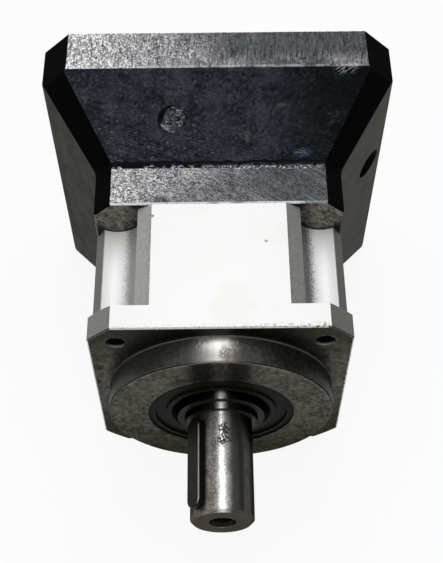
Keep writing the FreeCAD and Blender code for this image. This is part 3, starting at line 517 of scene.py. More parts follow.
NECK_STAIN = ((-20.9, 51, 45), 3, 4)
CHALK_PATCHES = ((23.2, 85.2, 3.2, 0.9, 1.2), (10.5, 75.4, 1.0, 2.2, 1.2))
CHALK_SMEAR = (43, 81, 6, 3.2, 1.6)
SCUFF_PATCH = (30.2, 71, 4.4, 1.6, 1.0)
NICK_PATCH = (46.5, 96.4, 6, 3.0, 0.8)


def ground_flecks(f, flange, streaky, sand):
    """Grain of the ground sides: crystals and streaks on the motor flange, frost on the neck."""
    crystals = f.grains(0.55, stretch=(1, 1.4, 1), shift=2) * 0.5
    crystals = crystals + f.grains(0.4, stretch=(1, 2, 1), shift=22, spin=(0, 0, 20)) * 0.3
    streaks = f.grains(0.5, stretch=(1, 6, 1), shift=12, spin=(0, 0, 4)) * 0.5
    streaks = streaks + f.grains(0.4, stretch=(1, 2, 1), shift=42, spin=(0, 0, 9)) * 0.3
    frost = f.grains(0.4, stretch=(1.3, 1, 1), shift=62, spin=(0, 0, 24)) * 0.55
    frost = frost + f.cloud(0.8, 4, stretch=(2, 1, 1), shift=72, spin=(0, 0, 30)) * 0.22
    crystals = crystals * flange + frost * (1 - flange)
    return (crystals * (1 - streaky) + streaks * streaky + sand * 0.4).rise(0.28, 0.92)


def ground_glints(f, flange):
    """Painted glints: single bright grains, smaller on the neck than on the motor flange."""
    large = f.grains(0.5, stretch=(1, 1.4, 1), shift=52, spin=(0, 0, -15)).rise(0.62, 0.9)
    small = f.grains(0.4, stretch=(1.3, 1, 1), shift=82, spin=(0, 0, 24)).rise(0.58, 1.0)
    return large * flange + small * (1 - flange)


def ground_sides(f, flange, sand, drag, drift):
    """Ground sides of neck and motor flange: grainy steel with painted light, brightest on the upper left,
    and painted glints.
    """
    streaky = flange * f.cloud(6, 4, shift=46).rise(0.3, 0.5)
    flecks = ground_flecks(f, flange, streaky, sand)
    glints = ground_glints(f, flange)
    hatch = f.grains(0.5, stretch=(9, 1, 1), shift=9, spin=(0, 0, 38)).rise(0.4, 1.0)
    # Painted light: faces turned up are lighter, most at the left, and lit_edge lightens the motor flange
    # next to the slopes.
    upward = f.face_z.rise(0.5, 0.9)
    bright = (1 - (f.x + drift * 60 - 30).rise(-60, 24)) * upward + (1 - upward) * 0.25
    lit_edge = flange * (1 - f.y.rise(TAPER_END + 1, TAPER_END + 8)) * drift.rise(0.3, 0.6)
    tone = flecks * (0.6 - streaky * 0.2) + drag * streaky * 0.3 + hatch * (1 - bright) * (1 - flange) * 0.33
    # Painted glints, strongest where the painted light is.
    tone = tone * (0.85 + lit_edge * 0.3) + bright * (0.03 + glints * (0.95 - flange * 0.11)) + glints * 0.2
    steel = f.mix(tone, GROUND_DARK, f.mix(bright.or_more(lit_edge * 0.3), *GROUND_PAINTED_LIGHT))
    seam = f.x.near(4.8, 0.4, 1.0) * f.y.near(60, 5, 4) * sand.rise(0.4, 0.6)
    return f.mix(seam.or_more(f.mark(*NECK_STAIN)) * 0.6, steel, GROUND_SEAM)


def slope_scratches(f):
    """Thin scratches of the slopes in three directions."""
    level = f.scratches(3.5, 0.60, shift=40, spin=(0, 0, 9)) * (1 - f.y.rise(TAPER_START + 1, 84))
    rising = f.scratches(3, 0.61, shift=80, spin=(0, 0, -32)) * f.cloud(7, 3, shift=4).rise(0.5, 0.6)
    falling = f.scratches(3, 0.62, shift=95, spin=(0, 0, 51)) * f.cloud(7, 3, shift=74).rise(0.52, 0.62)
    return most([level, rising, falling])


def smeared_slopes(f, smear, swipe, film_and_shade, rub, dust):
    """Upper and lower slopes: smeared, speckled and scratched black, with painted glints and painted shade
    that darkens them to the right.
    """
    black = f.mix(smear.rise(0.34, 0.68) * 0.5 + film_and_shade * 0.5, *SLOPE)
    # Painted shade: darker to the right.
    black = f.mix(f.x.rise(10, 50) * 0.85, black, SLOPE_RIGHT_SHADE)
    speckle = f.cloud(1.2, 5, harsh=0.7, shift=57)
    black = f.mix(speckle.rise(0.53, 0.68) * (0.45 - f.x.rise(0, 50) * 0.35), black, SLOPE_SPECKLE)
    # Painted glints, most at the lower left.
    sparks = f.grains(0.42, stretch=(2.2, 1, 1), shift=36, spin=(0, 0, 12)).rise(0.8, 1.0)
    sparks = sparks * (0.8 - f.x.rise(-20, 45) * 0.65)
    black = f.mix(sparks * speckle.rise(0.42, 0.66) * (1.1 - f.y.rise(72, 90) * 0.6), black, SLOPE_GLINT)
    black = f.mix((1 - speckle.rise(0.36, 0.47)) * 0.8, black, SLOPE_HOLLOW)
    black = f.mix(rub * 0.42, black, SLOPE_SCRATCH)
    chalk = most([f.patch(*patch) for patch in CHALK_PATCHES])
    chalk = chalk.or_more(f.patch(*CHALK_SMEAR) * swipe.rise(0.45, 0.6))
    black = f.mix(chalk * 0.5, black, SLOPE_CHALK)
    black = f.mix(dust * 0.6, black, SLOPE_DUST)
    # Painted shade: darker again to the right.
    black = f.mix(f.x.rise(12, 48) * 0.62, black, SLOPE_SHADE)
    strokes = f.cloud(0.3, 4, stretch=(8, 1, 1), shift=15, spin=(0, 0, 8)).rise(0.44, 0.58)
    return f.mix(f.patch(*SCUFF_PATCH) * strokes * 0.7, black, SLOPE_SCUFF)


def scar_ground(f, black):
    """Gate scar and the slope round it: bright grains on it, a painted shadow on its upper side and a painted
    highlight on the ledge below.
    """
    away = ((f.x - SCAR_X) ** 2 + ((f.y - SCAR_Y) / SCAR_SQUASH) ** 2) ** 0.5
    upper = f.z.rise(40, 42)
    pad = (1 - away.rise(SCAR_REACH - 0.3, SCAR_REACH + 0.1)) * upper
    black = f.mix(pad * f.grains(0.6, shift=17).rise(0.55, 0.95) * 0.6, black, SCAR_GRAIN)
    uphill = f.y - f.x + SCAR_X - SCAR_Y
    # Painted shadow on the uphill side of the raised scar.
    shadow_side = away.near(SCAR_REACH + 0.2, 0.7, 0.8) * uphill.rise(-0.5, 5) * upper
    black = f.mix(shadow_side, black, SCAR_SHADOW)
    downhill = -f.y + SCAR_Y - f.x * 0.5 + SCAR_X * 0.5
    # Painted highlight on the downhill ledge.
    ledge = away.near(SCAR_REACH + 0.2, 0.4, 0.4) * downhill.rise(3, 4.2) * upper
    return f.mix(ledge * f.cloud(0.9, 3, shift=5).rise(0.4, 0.55) * 0.8, black, SCAR_LEDGE_HIGHLIGHT)


def side_slopes(f, film_and_shade):
    """Left and right slopes: dusty black, lighter on the right."""
    dusty = f.mix(f.cloud(1.6, 5, stretch=(1, 9, 9), shift=66) * 0.5 + film_and_shade * 0.5, *SIDE_SLOPE)
    return f.mix(f.x.rise(-10, 10) * 0.35, dusty, SIDE_SLOPE_RIGHT)


def access_hole(f, black):
    """Painted shade: the wall of the access hole in the right slope is made black."""
    away = ((f.y - ACCESS_Y) ** 2 + (f.z - ACCESS_Z) ** 2) ** 0.5
    wall = (1 - away.rise(ACCESS_RADIUS - 0.05, ACCESS_RADIUS + 0.1)) * f.x.rise(20, 25)
    return f.mix(wall, black, ACCESS_WALL_SHADE)


def neck_face(f, where):
    """Front of the neck, seen in the flutes: milled in two directions, with painted shade round the flutes'
    outline where the housing meets it.
    """
    arcs_one = f.cloud(0.3, 3, stretch=(9, 9, 1), shift=9, spin=(0, 35, 0))
    arcs_two = f.cloud(0.3, 3, stretch=(9, 9, 1), shift=29, spin=(0, -50, 0))
    swirl = (arcs_one * (1 - where) + arcs_two * where) * 0.65 + f.cloud(2.5, 5, shift=35) * 0.35
    milled = f.mix(swirl.rise(0.38, 0.62), *NECK_FACE)
    # Painted shade round the flutes' outline.
    return f.mix(f.off_corner(FLUTE_OFFSET).rise(7.4, 9.3) * 0.9, milled, NECK_FACE_SHADE)


def motor_face(f, lathe, bruise, drift, sand, film_and_shade):
    """Rear face: turned rings, a few bruises and patches of old oil."""
    facing = lathe * 0.55 + drift * 0.3 + sand * 0.15
    faced = f.mix(facing.rise(0.36, 0.64), *REAR)
    faced = f.mix(bruise * 0.6, faced, REAR_BRUISE)
    return f.mix(film_and_shade * f.cloud(4, 5, shift=8).rise(0.5, 0.62) * 0.7, faced, REAR_OIL)


def rear_bruises(f):
    """Straight dents across the motor face in two directions."""
    one = f.cloud(0.3, 1, stretch=(40, 40, 1), shift=12, spin=(0, 24, 0)).rise(0.64, 0.69)
    two = f.cloud(0.3, 1, stretch=(30, 30, 1), shift=31, spin=(0, -57, 0)).rise(0.65, 0.7)
    return one.or_more(two)


def worn_edges(f, skin, slant, front, rear):
    """Bare metal along the edges of neck and motor flange, and nicks at the right end of the latter."""
    ragged = f.cloud(1.1, 4, shift=31)
    wear_and_shade = (f.cloud(9, 4, shift=77) - f.x * 0.004).rise(0.36, 0.5)
    neck = f.y.near(NECK_START + 0.25, 0.4, 0.2) * skin * (1 - front)
    neck = neck * ragged.rise(0.3, 0.45) * (0.35 + wear_and_shade * 0.65) * (0.15 + f.face_z.rise(0.3, 0.6) * 0.85)
    flange = f.y.near(TAPER_END, 0.3, 0.3) * skin * f.cloud(5, 4, shift=31).rise(0.4, 0.6) * 0.22
    motor = f.y.near(MOTOR_FACE - 0.25, 0.3, 0.2) * ragged.rise(0.45, 0.6) * 0.7 * (1 - rear)
    edges = most([neck, flange, motor]) * (1 - slant.rise(0.3, 0.5))
    nicks = f.patch(*NICK_PATCH) * f.scratches(3, 0.56, shift=21, spin=(0, 0, -34))
    return edges.or_more(nicks * 0.4)


def foot_line(f):
    """Wavy line of painted shade in the crease at the foot of the slopes, and the chipped paint in front of
    it.
    """
    wave = (f.cloud(9, 2, shift=61) - 0.5) * 3
    # Painted shade along the crease at the foot.
    line = (f.y + wave).near(TAPER_START + 0.1, 0.4, 0.25)
    broken = (f.cloud(1.9, 5, shift=31) - f.x * 0.002).rise(0.48, 0.53)
    return line.or_more(f.y.near(TAPER_START - 1.2, 0.7, 0.6) * broken)


def foot_chips(f):
    """Bright chips in front of the foot line, right of the middle."""
    broken = f.cloud(0.8, 4, shift=83).rise(0.54, 0.6)
    return f.y.near(TAPER_START - 2.0, 0.5, 0.4) * broken * f.x.near(18, 12, 10)


def cast_slopes(f, smear, swipe, film_and_shade, rub, beside, chamfer):
    """The four slopes and the chamfers between them, with gate scar and access hole."""
    dust = f.specks(2.2, 0.07, shift=2) * f.cloud(12, 3, shift=33).rise(0.46, 0.58)
    black = smeared_slopes(f, smear, swipe, film_and_shade, rub, dust)
    black = scar_ground(f, black)
    black = f.mix(beside, black, side_slopes(f, film_and_shade))
    black = access_hole(f, black)
    return f.mix(chamfer, black, f.mix(dust, *CHAMFER))


def black_adapter():
    """Black casting: ground, speckled sides on neck and flange, smeared and scratched slopes, edges rubbed
    bare; painted light, glints and shade on several of them.
    """
    f = Finish("black_adapter")
    f.constant("Specular IOR Level", 0.03)
    sand = f.cloud(0.85, 5, harsh=0.66, shift=2)
    drag = f.cloud(0.45, 3, stretch=(1, 14, 1), shift=6, spin=(0, 0, 3)).rise(0.36, 0.66)
    drift = f.cloud(14, 5, shift=11)
    film_and_shade = f.cloud(9, 6, shift=23).rise(0.36, 0.66)
    where = f.cloud(13, 4, shift=90).rise(0.42, 0.58)
    wipe = f.cloud(1.3, 6, stretch=(8, 1, 1), shift=5, spin=(0, 0, 14))
    swipe = f.cloud(1.5, 6, stretch=(6, 1, 1), shift=55, spin=(0, 0, -48))
    smear = wipe * (1 - where) + swipe * where
    lathe = f.rings(0.3, 3)
    rub = slope_scratches(f)
    bruise = rear_bruises(f)

    across = abs(f.x).or_more(abs(f.z))
    level = abs(f.face_x).or_more(abs(f.face_z)).rise(0.9, 0.97)
    slant = abs(f.face_x).or_less(abs(f.face_z))
    chamfer = slant.rise(0.3, 0.4)
    beside = abs(f.face_x).rise(0.7, 0.8)
    flange = f.y.rise(*SLOPE_SPLIT)
    skin = (across - flange * (MOTOR_HALF - NECK_HALF)).rise(NECK_HALF - 0.8, NECK_HALF - 0.5)
    foot_bevel = (-f.face_y).rise(0.1, 0.2) * f.y.near(TAPER_START, 3, 1)
    ground = level * skin * (1 - foot_bevel)
    front = (-f.face_y).rise(0.93, 0.98) * (1 - f.y.rise(NECK_START + 0.2, NECK_START + 0.4))
    rear = f.face_y.rise(0.93, 0.98) * f.y.rise(MOTOR_FACE - 0.4, MOTOR_FACE - 0.2)
    at_neck = across.near(NECK_HALF, 1.2, 0.3)
    rim = worn_edges(f, skin, slant, front, rear)
    foot = foot_line(f) * at_neck

    black = cast_slopes(f, smear, swipe, film_and_shade, rub, beside, chamfer)
    colour = f.mix(ground, black, ground_sides(f, flange, sand, drag, drift))
    colour = f.mix(front, colour, neck_face(f, where))
    colour = f.mix(rear, colour, motor_face(f, lathe, bruise, drift, sand, film_and_shade))
    colour = f.mix(rim, colour, BARE_EDGE)
    # Painted shade at the foot, with the chipped paint.
    colour = f.mix(foot * (1 - rim), colour, FOOT_SHADE_AND_PAINT)
    colour = f.mix(foot_chips(f) * at_neck * 0.8, colour, BARE_EDGE)

    metal = most([ground, front, rear]) * 0.95 * (1 - foot) * (1 - rim)
    rough = 0.36 + metal * 0.08 + smear * 0.14 - sand * 0.06 + beside.or_more(chamfer) * 0.5
    height = ground * (drag * 0.6 + sand * 5.0) + (1 - ground) * (smear * 1.6 + sand * 0.8 - rub * 0.6)
    height = height * (1 - rear) + rear * (lathe * 0.8 - bruise * 0.5)
    return f.done(colour, rough, metal, height, 0.03)


# Output shaft: colours and spots

SHAFT_SHEEN = (0.25, 0.24, 0.22)
SHAFT = ((0.54, 0.53, 0.515), (0.78, 0.77, 0.75))
SHAFT_STAIN = (0.105, 0.078, 0.062)
# Painted highlight along the middle of the shaft.
SHAFT_HIGHLIGHT = (0.92, 0.915, 0.90)
# Painted shade, grainy, on the shaft's left next to the middle.
SHAFT_NEAR_LEFT_SHADE = ((0.10, 0.085, 0.077), (0.36, 0.318, 0.288))
# Painted shade on the far left of the shaft, brownish.
SHAFT_FAR_LEFT_SHADE = (0.085, 0.068, 0.057)
# Painted shade on the shaft's right.
SHAFT_RIGHT_SHADE = ((0.012, 0.0112, 0.0095), (0.034, 0.032, 0.028))
SHAFT_PIT = (0.035, 0.03, 0.025)
SHAFT_FACE = ((0.062, 0.061, 0.054), (0.145, 0.142, 0.127))
# Painted shade inside the centre hole.
SHAFT_HOLE_SHADE = (0.02, 0.018, 0.015)
# Painted shade on the collar beside its middle.
COLLAR_SIDE_SHADE = (0.03, 0.0285, 0.025)
COLLAR_FACE = (0.05, 0.048, 0.042)

PIT_SPOTS = (((0.9, -20.3, 11), 2.6, 3.0), ((0.7, -24.6, 11), 2.8, 3.5))


def shaft_side(f, rings, broad, grit, stain):
    """Round side: stained on the left, with a painted highlight down the middle and painted shade to both
    sides of it, brownish to the left and dark to the right.
    """
    steel = f.mix(rings * 0.4 + broad * 0.6, *SHAFT)
    steel = f.mix(stain * (0.8 - f.x.rise(-5.5, -1.5) * 0.6), steel, SHAFT_STAIN)
    crystals = f.grains(0.4, stretch=(1, 1.5, 1), shift=19)
    # Painted highlight down the middle, ragged at its edges.
    steel = f.mix(1 - (abs(f.x) + crystals * 1.6 - 0.6).rise(0.6, 2.0), steel, SHAFT_HIGHLIGHT)
    # Painted shade, grainy, left of the middle.
    wear_and_shade = f.mix(crystals, *SHAFT_NEAR_LEFT_SHADE)
    steel = f.mix((grit * 3 - 1.5 - f.x).rise(0.6, 2.8) * 0.85, steel, wear_and_shade)
    # Painted shade further left, brownish.
    steel = f.mix((-f.x).rise(4, 8) * 0.75, steel, SHAFT_FAR_LEFT_SHADE)
    # Painted shade to the right of the middle.
    film_and_shade = (f.x + broad * 2 + grit * 2 - 2).rise(0.4, 3.8)
    return f.mix(film_and_shade * 0.9, steel, f.mix(grit, *SHAFT_RIGHT_SHADE))


def shaft_pits(f, broad):
    """Two pitted patches and fine pepper beside the middle."""
    pitted = f.marks(PIT_SPOTS) * f.grains(0.5, stretch=(1, 1.3, 1), shift=51).rise(0.3, 0.5)
    pepper = f.grains(0.32, stretch=(1, 1.5, 1), shift=8).rise(0.6, 0.95)
    pepper = pepper * f.x.near(-1.2, 1.4, 1.8) * broad.rise(0.3, 0.55)
    return pitted.or_more(pepper * 0.7)


def ground_shaft():
    """Ground steel with fine rings round the axis, pitted patches, brown stains and dull end faces; painted
    shade on the collar beside its middle and in the centre hole.
    """
    f = Finish("ground_shaft")
    f.constant("Specular Tint", SHAFT_SHEEN)
    f.constant("Anisotropic", 0.85)
    f.constant("Anisotropic Rotation", 0.25)
    rings = f.cloud(0.12, 2, stretch=(60, 1, 60))
    broad = f.cloud(6, 5, shift=14)
    grit = f.cloud(0.7, 5, shift=51)
    stain = (f.cloud(2.2, 6, stretch=(1, 2, 1), shift=25) * 0.6 + grit * 0.4).rise(0.44, 0.58)
    pits = shaft_pits(f, broad)
    front = (-f.face_y).rise(0.8, 0.95)
    collar = f.radius.rise(SHAFT_RADIUS + 0.5, SHAFT_RADIUS + 1.5)
    hole = 1 - f.radius.rise(CENTRE_HOLE - 0.1, CENTRE_HOLE + 0.1)

    steel = shaft_side(f, rings, broad, grit, stain)
    steel = f.mix(pits * 0.9, steel, SHAFT_PIT)
    # Painted shade on the collar, leaving a narrow middle.
    steel = f.mix(collar * abs(f.x).rise(0.6, 3), steel, COLLAR_SIDE_SHADE)
    dull = f.mix(grit * 0.5 + broad * 0.5, *SHAFT_FACE)
    dull = f.mix(collar * 0.8, dull, COLLAR_FACE)
    # Painted shade in the centre hole.
    colour = f.mix(hole, f.mix(front, steel, dull), SHAFT_HOLE_SHADE)
    rough = 0.26 + broad * 0.08 + pits * 0.2 + stain * 0.1 + collar * 0.08
    return f.done(colour, rough, 1.0, rings * 0.5 - pits * 2.0, 0.01)


# Key, seal and the metals inside

KEY = ((0.011, 0.011, 0.010), (0.030, 0.030, 0.0275))
# Painted highlight on the key's chamfers.
KEY_EDGE_HIGHLIGHT = (0.20, 0.196, 0.184)
RUBBER = ((0.0045, 0.0046, 0.0036), (0.0115, 0.0117, 0.0095))
RUBBER_DUST = (0.05, 0.048, 0.042)
RUBBER_LINE = (0.035, 0.034, 0.031)
# Painted shade in the gap round the seal.
RUBBER_GAP_SHADE = (0.001, 0.001, 0.001)
GEAR_STEEL = ((0.30, 0.29, 0.28), (0.50, 0.49, 0.47))
BEARING_STEEL = ((0.50, 0.50, 0.49), (0.68, 0.68, 0.67))
BRONZE = ((0.36, 0.22, 0.08), (0.55, 0.37, 0.16))
BLACK_SCREW = ((0.018, 0.018, 0.02), (0.05, 0.05, 0.052))


def key_steel():
    """Dark key steel with drawn lines and a broken painted highlight on the chamfers along its top."""
    f = Finish("key_steel")
    drawn = f.drawn_lines()
    cloudy = f.cloud(4, 4, shift=7)
    colour = f.mix(drawn * 0.4 + cloudy * 0.6, *KEY)
    over = f.face_z * math.cos(KEY_TURN) - f.face_x * math.sin(KEY_TURN)
    side = f.face_z * math.sin(KEY_TURN) + f.face_x * math.cos(KEY_TURN)
    # Painted highlight on the chamfers between the key's top and sides.
    edge = abs(over).or_less(abs(side)).rise(0.45, 0.6)
    colour = f.mix(edge * (0.55 + f.cloud(1.4, 4, shift=2) * 0.6), colour, KEY_EDGE_HIGHLIGHT)
    return f.done(colour, 0.28 + cloudy * 0.14, 1.0, drawn, 0.006)


def seal_rubber():
    """Black nitrile rubber, greasy and dusty in patches, with a moulded line and painted shade in the gap
    round it.
    """
    f = Finish("seal_rubber")
    f.constant("Specular IOR Level", 0.025)
    grease = f.cloud(3, 4)
    dust = f.cloud(0.8, 4, shift=17).rise(0.55, 0.7) * f.cloud(5, 2, shift=2).rise(0.45, 0.6)
    line = f.radius.near(SEAL_LINE, 0.1, 0.12)
    colour = f.mix(grease, *RUBBER)
    colour = f.mix(dust * 0.25, colour, RUBBER_DUST)
    colour = f.mix(line * 0.3, colour, RUBBER_LINE)
    # Painted shade in the gap beyond the seal's rim.
    colour = f.mix(f.radius.rise(SEAL_RIM - 0.2, SEAL_RIM + 0.2), colour, RUBBER_GAP_SHADE)
    return f.done(colour, 0.35 + grease * 0.25, 0.0, grease + line, 0.03)


def drawn_metal(name, tones, rough, metal):
    """Plain machined metal with lines along the axis, clouding and small dark specks."""
    f = Finish(name)
    drawn = f.drawn_lines()
    cloudy = f.cloud(6, 4, shift=7)
    colour = f.mix(drawn * 0.5 + cloudy * 0.5, *tones)
    speck = [0.3 * amount for amount in tones[0]]
    colour = f.mix(f.specks(2.2, 0.1, shift=1) * 0.6, colour, speck)
    return f.done(colour, rough + cloudy * 0.12 + drawn * 0.06, metal, drawn, 0.006)


def turned_metal(name, tones, rough):
    """Turned metal: rings round the axis show on every face."""
    f = Finish(name)
    rings = f.cloud(0.15, 2, stretch=(50, 1, 50))
    cloudy = f.cloud(5, 4, shift=12)
    colour = f.mix(rings * 0.5 + cloudy * 0.5, *tones)
    return f.done(colour, rough + cloudy * 0.12, 1.0, rings, 0.006)


FINISHES = {
    "satin_housing": satin_housing(),
    "black_adapter": black_adapter(),
    "ground_shaft": ground_shaft(),
    "key_steel": key_steel(),
    "gear_steel": drawn_metal("gear_steel", GEAR_STEEL, rough=0.3, metal=1.0),
    "bearing_steel": turned_metal("bearing_steel", BEARING_STEEL, rough=0.14),
    "bronze_bush": turned_metal("bronze_bush", BRONZE, rough=0.3),
    "black_screw": drawn_metal("black_screw", BLACK_SCREW, rough=0.36, metal=0.7),
    "seal_rubber": seal_rubber(),
}

for part in frame["record"]["subparts"]:
    mesh = frame["nodes"][part["node"]].data
    mesh.materials.clear()
    mesh.materials.append(FINISHES[part["material_slot"]])


# Small pieces

def new_piece(name, shape, slot, body):
    """Object of a finished bmesh that takes a slot's finish and rides on a body."""
    mesh = bpy.data.meshes.new(name)
    bmesh.ops.recalc_face_normals(shape, faces=shape.faces)
    shape.to_mesh(mesh)
    shape.free()
    mesh.materials.append(FINISHES[slot])
    piece = bpy.data.objects.new(name, mesh)
    bpy.context.scene.collection.objects.link(piece)
    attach(piece, body)
    return piece


def swept_strip(sections):
    """Closed solid through a row of sections with the same number of corners."""
    shape = bmesh.new()
    rows = [[shape.verts.new(Vector(corner) * MM) for corner in section] for section in sections]
    count = len(rows[0])
    for row, following in zip(rows, rows[1:]):
        for i in range(count):
            k = (i + 1) % count
            shape.faces.new((row[i], row[k], following[k], following[i]))
    shape.faces.new(rows[0])
    shape.faces.new(rows[-1])
    return shape


def thread(name, mouth, inward, slot, body):
    """Helical ridge on the wall of a tapped hole along the gear axis, fading out at both ends."""
    steps_per_turn = 18
    crest = 0.35
    sink = 0.03
    half_root = 0.46 * THREAD_PITCH
    lead_in = 0.9
    turns = THREAD_DEPTH / THREAD_PITCH
    sections = []
    for step in range(int(turns * steps_per_turn) + 1):
        turn = step / steps_per_turn
        angle = 2 * math.pi * turn
        station = mouth[1] + inward * (lead_in + turn * THREAD_PITCH)
        fade = min(1.0, turn * 2, (turns - turn) * 2 + 0.05)
        section = []
        for reach, offset in ((sink, -half_root), (-crest * fade, 0.0), (sink, half_root)):
            radius = THREAD_RADIUS + reach
            section.append((mouth[0] + radius * math.cos(angle), station + offset,
                            mouth[2] + radius * math.sin(angle)))
        sections.append(section)
    return new_piece(name, swept_strip(sections), slot, body)


def slope_point(x, y, proud):
    """Point on the upper slope of the adapter, lifted off it by proud."""
    run = TAPER_END - TAPER_START
    rise = MOTOR_HALF - NECK_HALF
    steep = math.hypot(run, rise)
    normal = Vector((0, -rise / steep, run / steep))
    foot = Vector((x, y, NECK_HALF + (y - TAPER_START) * rise / run))
    return foot + normal * proud


def gate_scar():
    """Broken-off casting gate on the upper slope: a low rough pad with a rough lip and a short tail."""
    around = 34
    pad_rings = 6
    pad_share = 0.82
    tail_reach = 0.3
    chance = random.Random(5)
    lobes = [1 + chance.uniform(-0.22, 0.22) for _ in range(around)]
    lobes = [(lobes[i - 1] + lobes[i] + lobes[(i + 1) % around]) / 3 for i in range(around)]

    def ring(share, proud, rough):
        corners = []
        for i in range(around):
            angle = 2 * math.pi * i / around
            tail = max(0.0, math.cos(angle - SCAR_TAIL)) ** 6
            out = SCAR_REACH * share * (lobes[i] + tail_reach * tail)
            lift = proud + chance.uniform(-rough, rough)
            x = SCAR_X + out * math.cos(angle)
            y = SCAR_Y + SCAR_SQUASH * out * math.sin(angle)
            corners.append(slope_point(x, y, lift))
        return corners

    sunk_foot = ring(1.02, -0.4, 0.0)
    outline = ring(1.0, 0.05, 0.02)
    lip = [ring(0.93, 0.30, 0.1), ring(pad_share, 0.30, 0.16)]
    pad = [ring(pad_share * (pad_rings - k) / pad_rings, 0.22, 0.16) for k in range(1, pad_rings - 1)]
    return new_piece("gate_scar", swept_strip([sunk_foot, outline, *lip, *pad]), "black_adapter", "housing")


def foot_burr(side):
    """Ragged ridge that the side cutter left on the neck along the foot of one slope."""
    chance = random.Random(40 + side)
    half = NECK_HALF - NECK_CORNER - 0.6
    steps = 150
    lift = 0.15
    lift_range = (0.02, 0.4)
    middle = TAPER_START - 1.6
    middle_range = (TAPER_START - 2.0, TAPER_START - 1.0)
    sunk = NECK_HALF - 0.08
    turned = Matrix.Rotation(math.pi / 2 * side, 3, "Y")
    sections = []
    for step in range(steps + 1):
        along = half * (2 * step / steps - 1)
        lift = min(lift_range[1], max(lift_range[0], lift + chance.uniform(-0.09, 0.09)))
        middle = min(middle_range[1], max(middle_range[0], middle + chance.uniform(-0.14, 0.14)))
        wide = 0.35 + lift * 0.9
        fade = min(1.0, 8 * step / steps, 8 * (1 - step / steps))
        section = (
            (along, middle - wide, sunk),
            (along, middle - 0.1, NECK_HALF + lift * fade),
            (along, middle + 0.25, NECK_HALF + 0.8 * lift * fade),
            (along, TAPER_START - 0.6, sunk),
        )
        sections.append([turned @ Vector(corner) for corner in section])
    return new_piece("foot_burr_%d" % (side + 1), swept_strip(sections), "black_adapter", "housing")


thread("shaft_end_thread", (0, SHAFT_END + COUNTERSINK, 0), 1, "ground_shaft", "output_carrier")
for corner in range(SIDES):
    turn = math.pi / 4 + math.pi / 2 * corner
    spot = (MOTOR_BOLT_CIRCLE * math.cos(turn), MOTOR_FACE, MOTOR_BOLT_CIRCLE * math.sin(turn))
    thread("motor_thread_%d" % (corner + 1), spot, -1, "black_adapter", "housing")
gate_scar()
for side in range(SIDES):
    foot_burr(side)


# Floor, light and camera, in metres

FLOOR_SIZE = 30
PAPER = (0.90, 0.90, 0.89)
PAPER_ROUGHNESS = 0.9
PAPER_GLOW = 0.88
WHITE = (1, 1, 1)
HORIZON = (0.12, 0.12, 0.122)
OVERHEAD = (0.90, 0.90, 0.90)


def make_floor():
    """Wide pale floor under the motor flange; seen directly and in reflections it is near white."""
    bpy.ops.mesh.primitive_plane_add(size=FLOOR_SIZE, location=(0, 0, cad_box[0].z))
    floor = bpy.context.object
    floor.name = "floor"
    material = bpy.data.materials.new("floor_paper")
    material.use_nodes = True
    nodes = Nodes(material.node_tree)
    paper = nodes.tree.nodes["Principled BSDF"]
    nodes.feed(paper.inputs["Base Color"], PAPER)
    nodes.feed(paper.inputs["Roughness"], PAPER_ROUGHNESS)
    glow = nodes.add("ShaderNodeEmission", None, {"Color": WHITE, "Strength": 1.0})
    share = most([nodes.ray(kind) for kind in ("Camera", "Glossy", "Transmission")]) * PAPER_GLOW
    blend = nodes.add("ShaderNodeMixShader", None, {0: share, 1: Wire(nodes, paper.outputs["BSDF"]), 2: glow})
    nodes.feed(nodes.tree.nodes["Material Output"].inputs["Surface"], blend)
    floor.data.materials.append(material)


def make_world():
    """Dim studio: white behind the object, darker round the horizon, lighter overhead."""
    world = bpy.data.worlds.new("studio")
    world.use_nodes = True
    bpy.context.scene.world = world
    nodes = Nodes(world.node_tree)
    way = nodes.add("ShaderNodeTexCoord", output="Generated")
    height = nodes.add("ShaderNodeSeparateXYZ", None, {0: way}, output="Z")
    sky = nodes.mix(height.rise(0.1, 0.8), HORIZON, OVERHEAD)
    mirrored = nodes.ray("Glossy").or_more(nodes.ray("Transmission"))
    white = nodes.ray("Camera").or_more(mirrored * (1 - height.rise(0.02, 0.08)))
    nodes.feed(nodes.tree.nodes["Background"].inputs["Color"], nodes.mix(white, sky, WHITE))


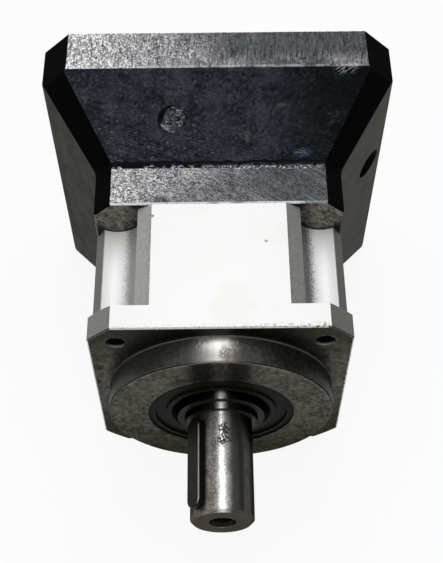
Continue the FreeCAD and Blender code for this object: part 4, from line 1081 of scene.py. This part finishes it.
def softbox(name, place, target, width, length, watts):
    """Rectangular lamp at a place, turned to its target."""
    lamp = bpy.data.lights.new(name, "AREA")
    lamp.shape = "RECTANGLE"
    lamp.size = width
    lamp.size_y = length
    lamp.energy = watts
    holder = bpy.data.objects.new(name, lamp)
    holder.location = place
    holder.rotation_euler = (Vector(target) - Vector(place)).to_track_quat("-Z", "Y").to_euler()
    bpy.context.scene.collection.objects.link(holder)


MIDDLE = (0, 0.03, 0)
FLANGE_CENTRE = (0, 0, 0)
make_floor()
make_world()
softbox("overhead_strip", (0.0, 0.80, 1.25), MIDDLE, width=0.36, length=1.0, watts=2.3)
softbox("zenith_strip", (0.0, 0.05, 1.45), FLANGE_CENTRE, width=0.16, length=0.5, watts=2.1)
softbox("left_fill", (-1.4, -0.5, 0.7), MIDDLE, width=0.7, length=0.7, watts=1.2)
softbox("right_fill", (1.4, -0.5, 0.7), MIDDLE, width=0.7, length=0.7, watts=0.8)

# Camera of the photograph, fitted to the corners of the flange and adapter and to the pilot and shaft
PHOTO_HEIGHT = 563
FOCAL_PIXELS = 1128.7
CENTRE_RISE_PIXELS = -60
SENSOR = 36.0
EYE = Vector((-0.6, -179.4, 372.5)) * MM
LOOK_DOWN = math.radians(55.9)
LOOK_ASIDE = math.radians(-0.37)
TILT = math.radians(-0.32)


def make_camera():
    lens = bpy.data.cameras.new("camera")
    lens.sensor_width = SENSOR
    lens.lens = FOCAL_PIXELS * SENSOR / PHOTO_HEIGHT
    lens.shift_y = CENTRE_RISE_PIXELS / PHOTO_HEIGHT
    camera = bpy.data.objects.new("camera", lens)
    camera.matrix_world = (
        Matrix.Translation(EYE)
        @ Matrix.Rotation(LOOK_ASIDE, 4, "Z")
        @ Matrix.Rotation(math.pi / 2 - LOOK_DOWN, 4, "X")
        @ Matrix.Rotation(TILT, 4, "Z")
    )
    bpy.context.scene.collection.objects.link(camera)
    bpy.context.scene.camera = camera


make_camera()
bpy.context.scene.view_settings.view_transform = "Standard"
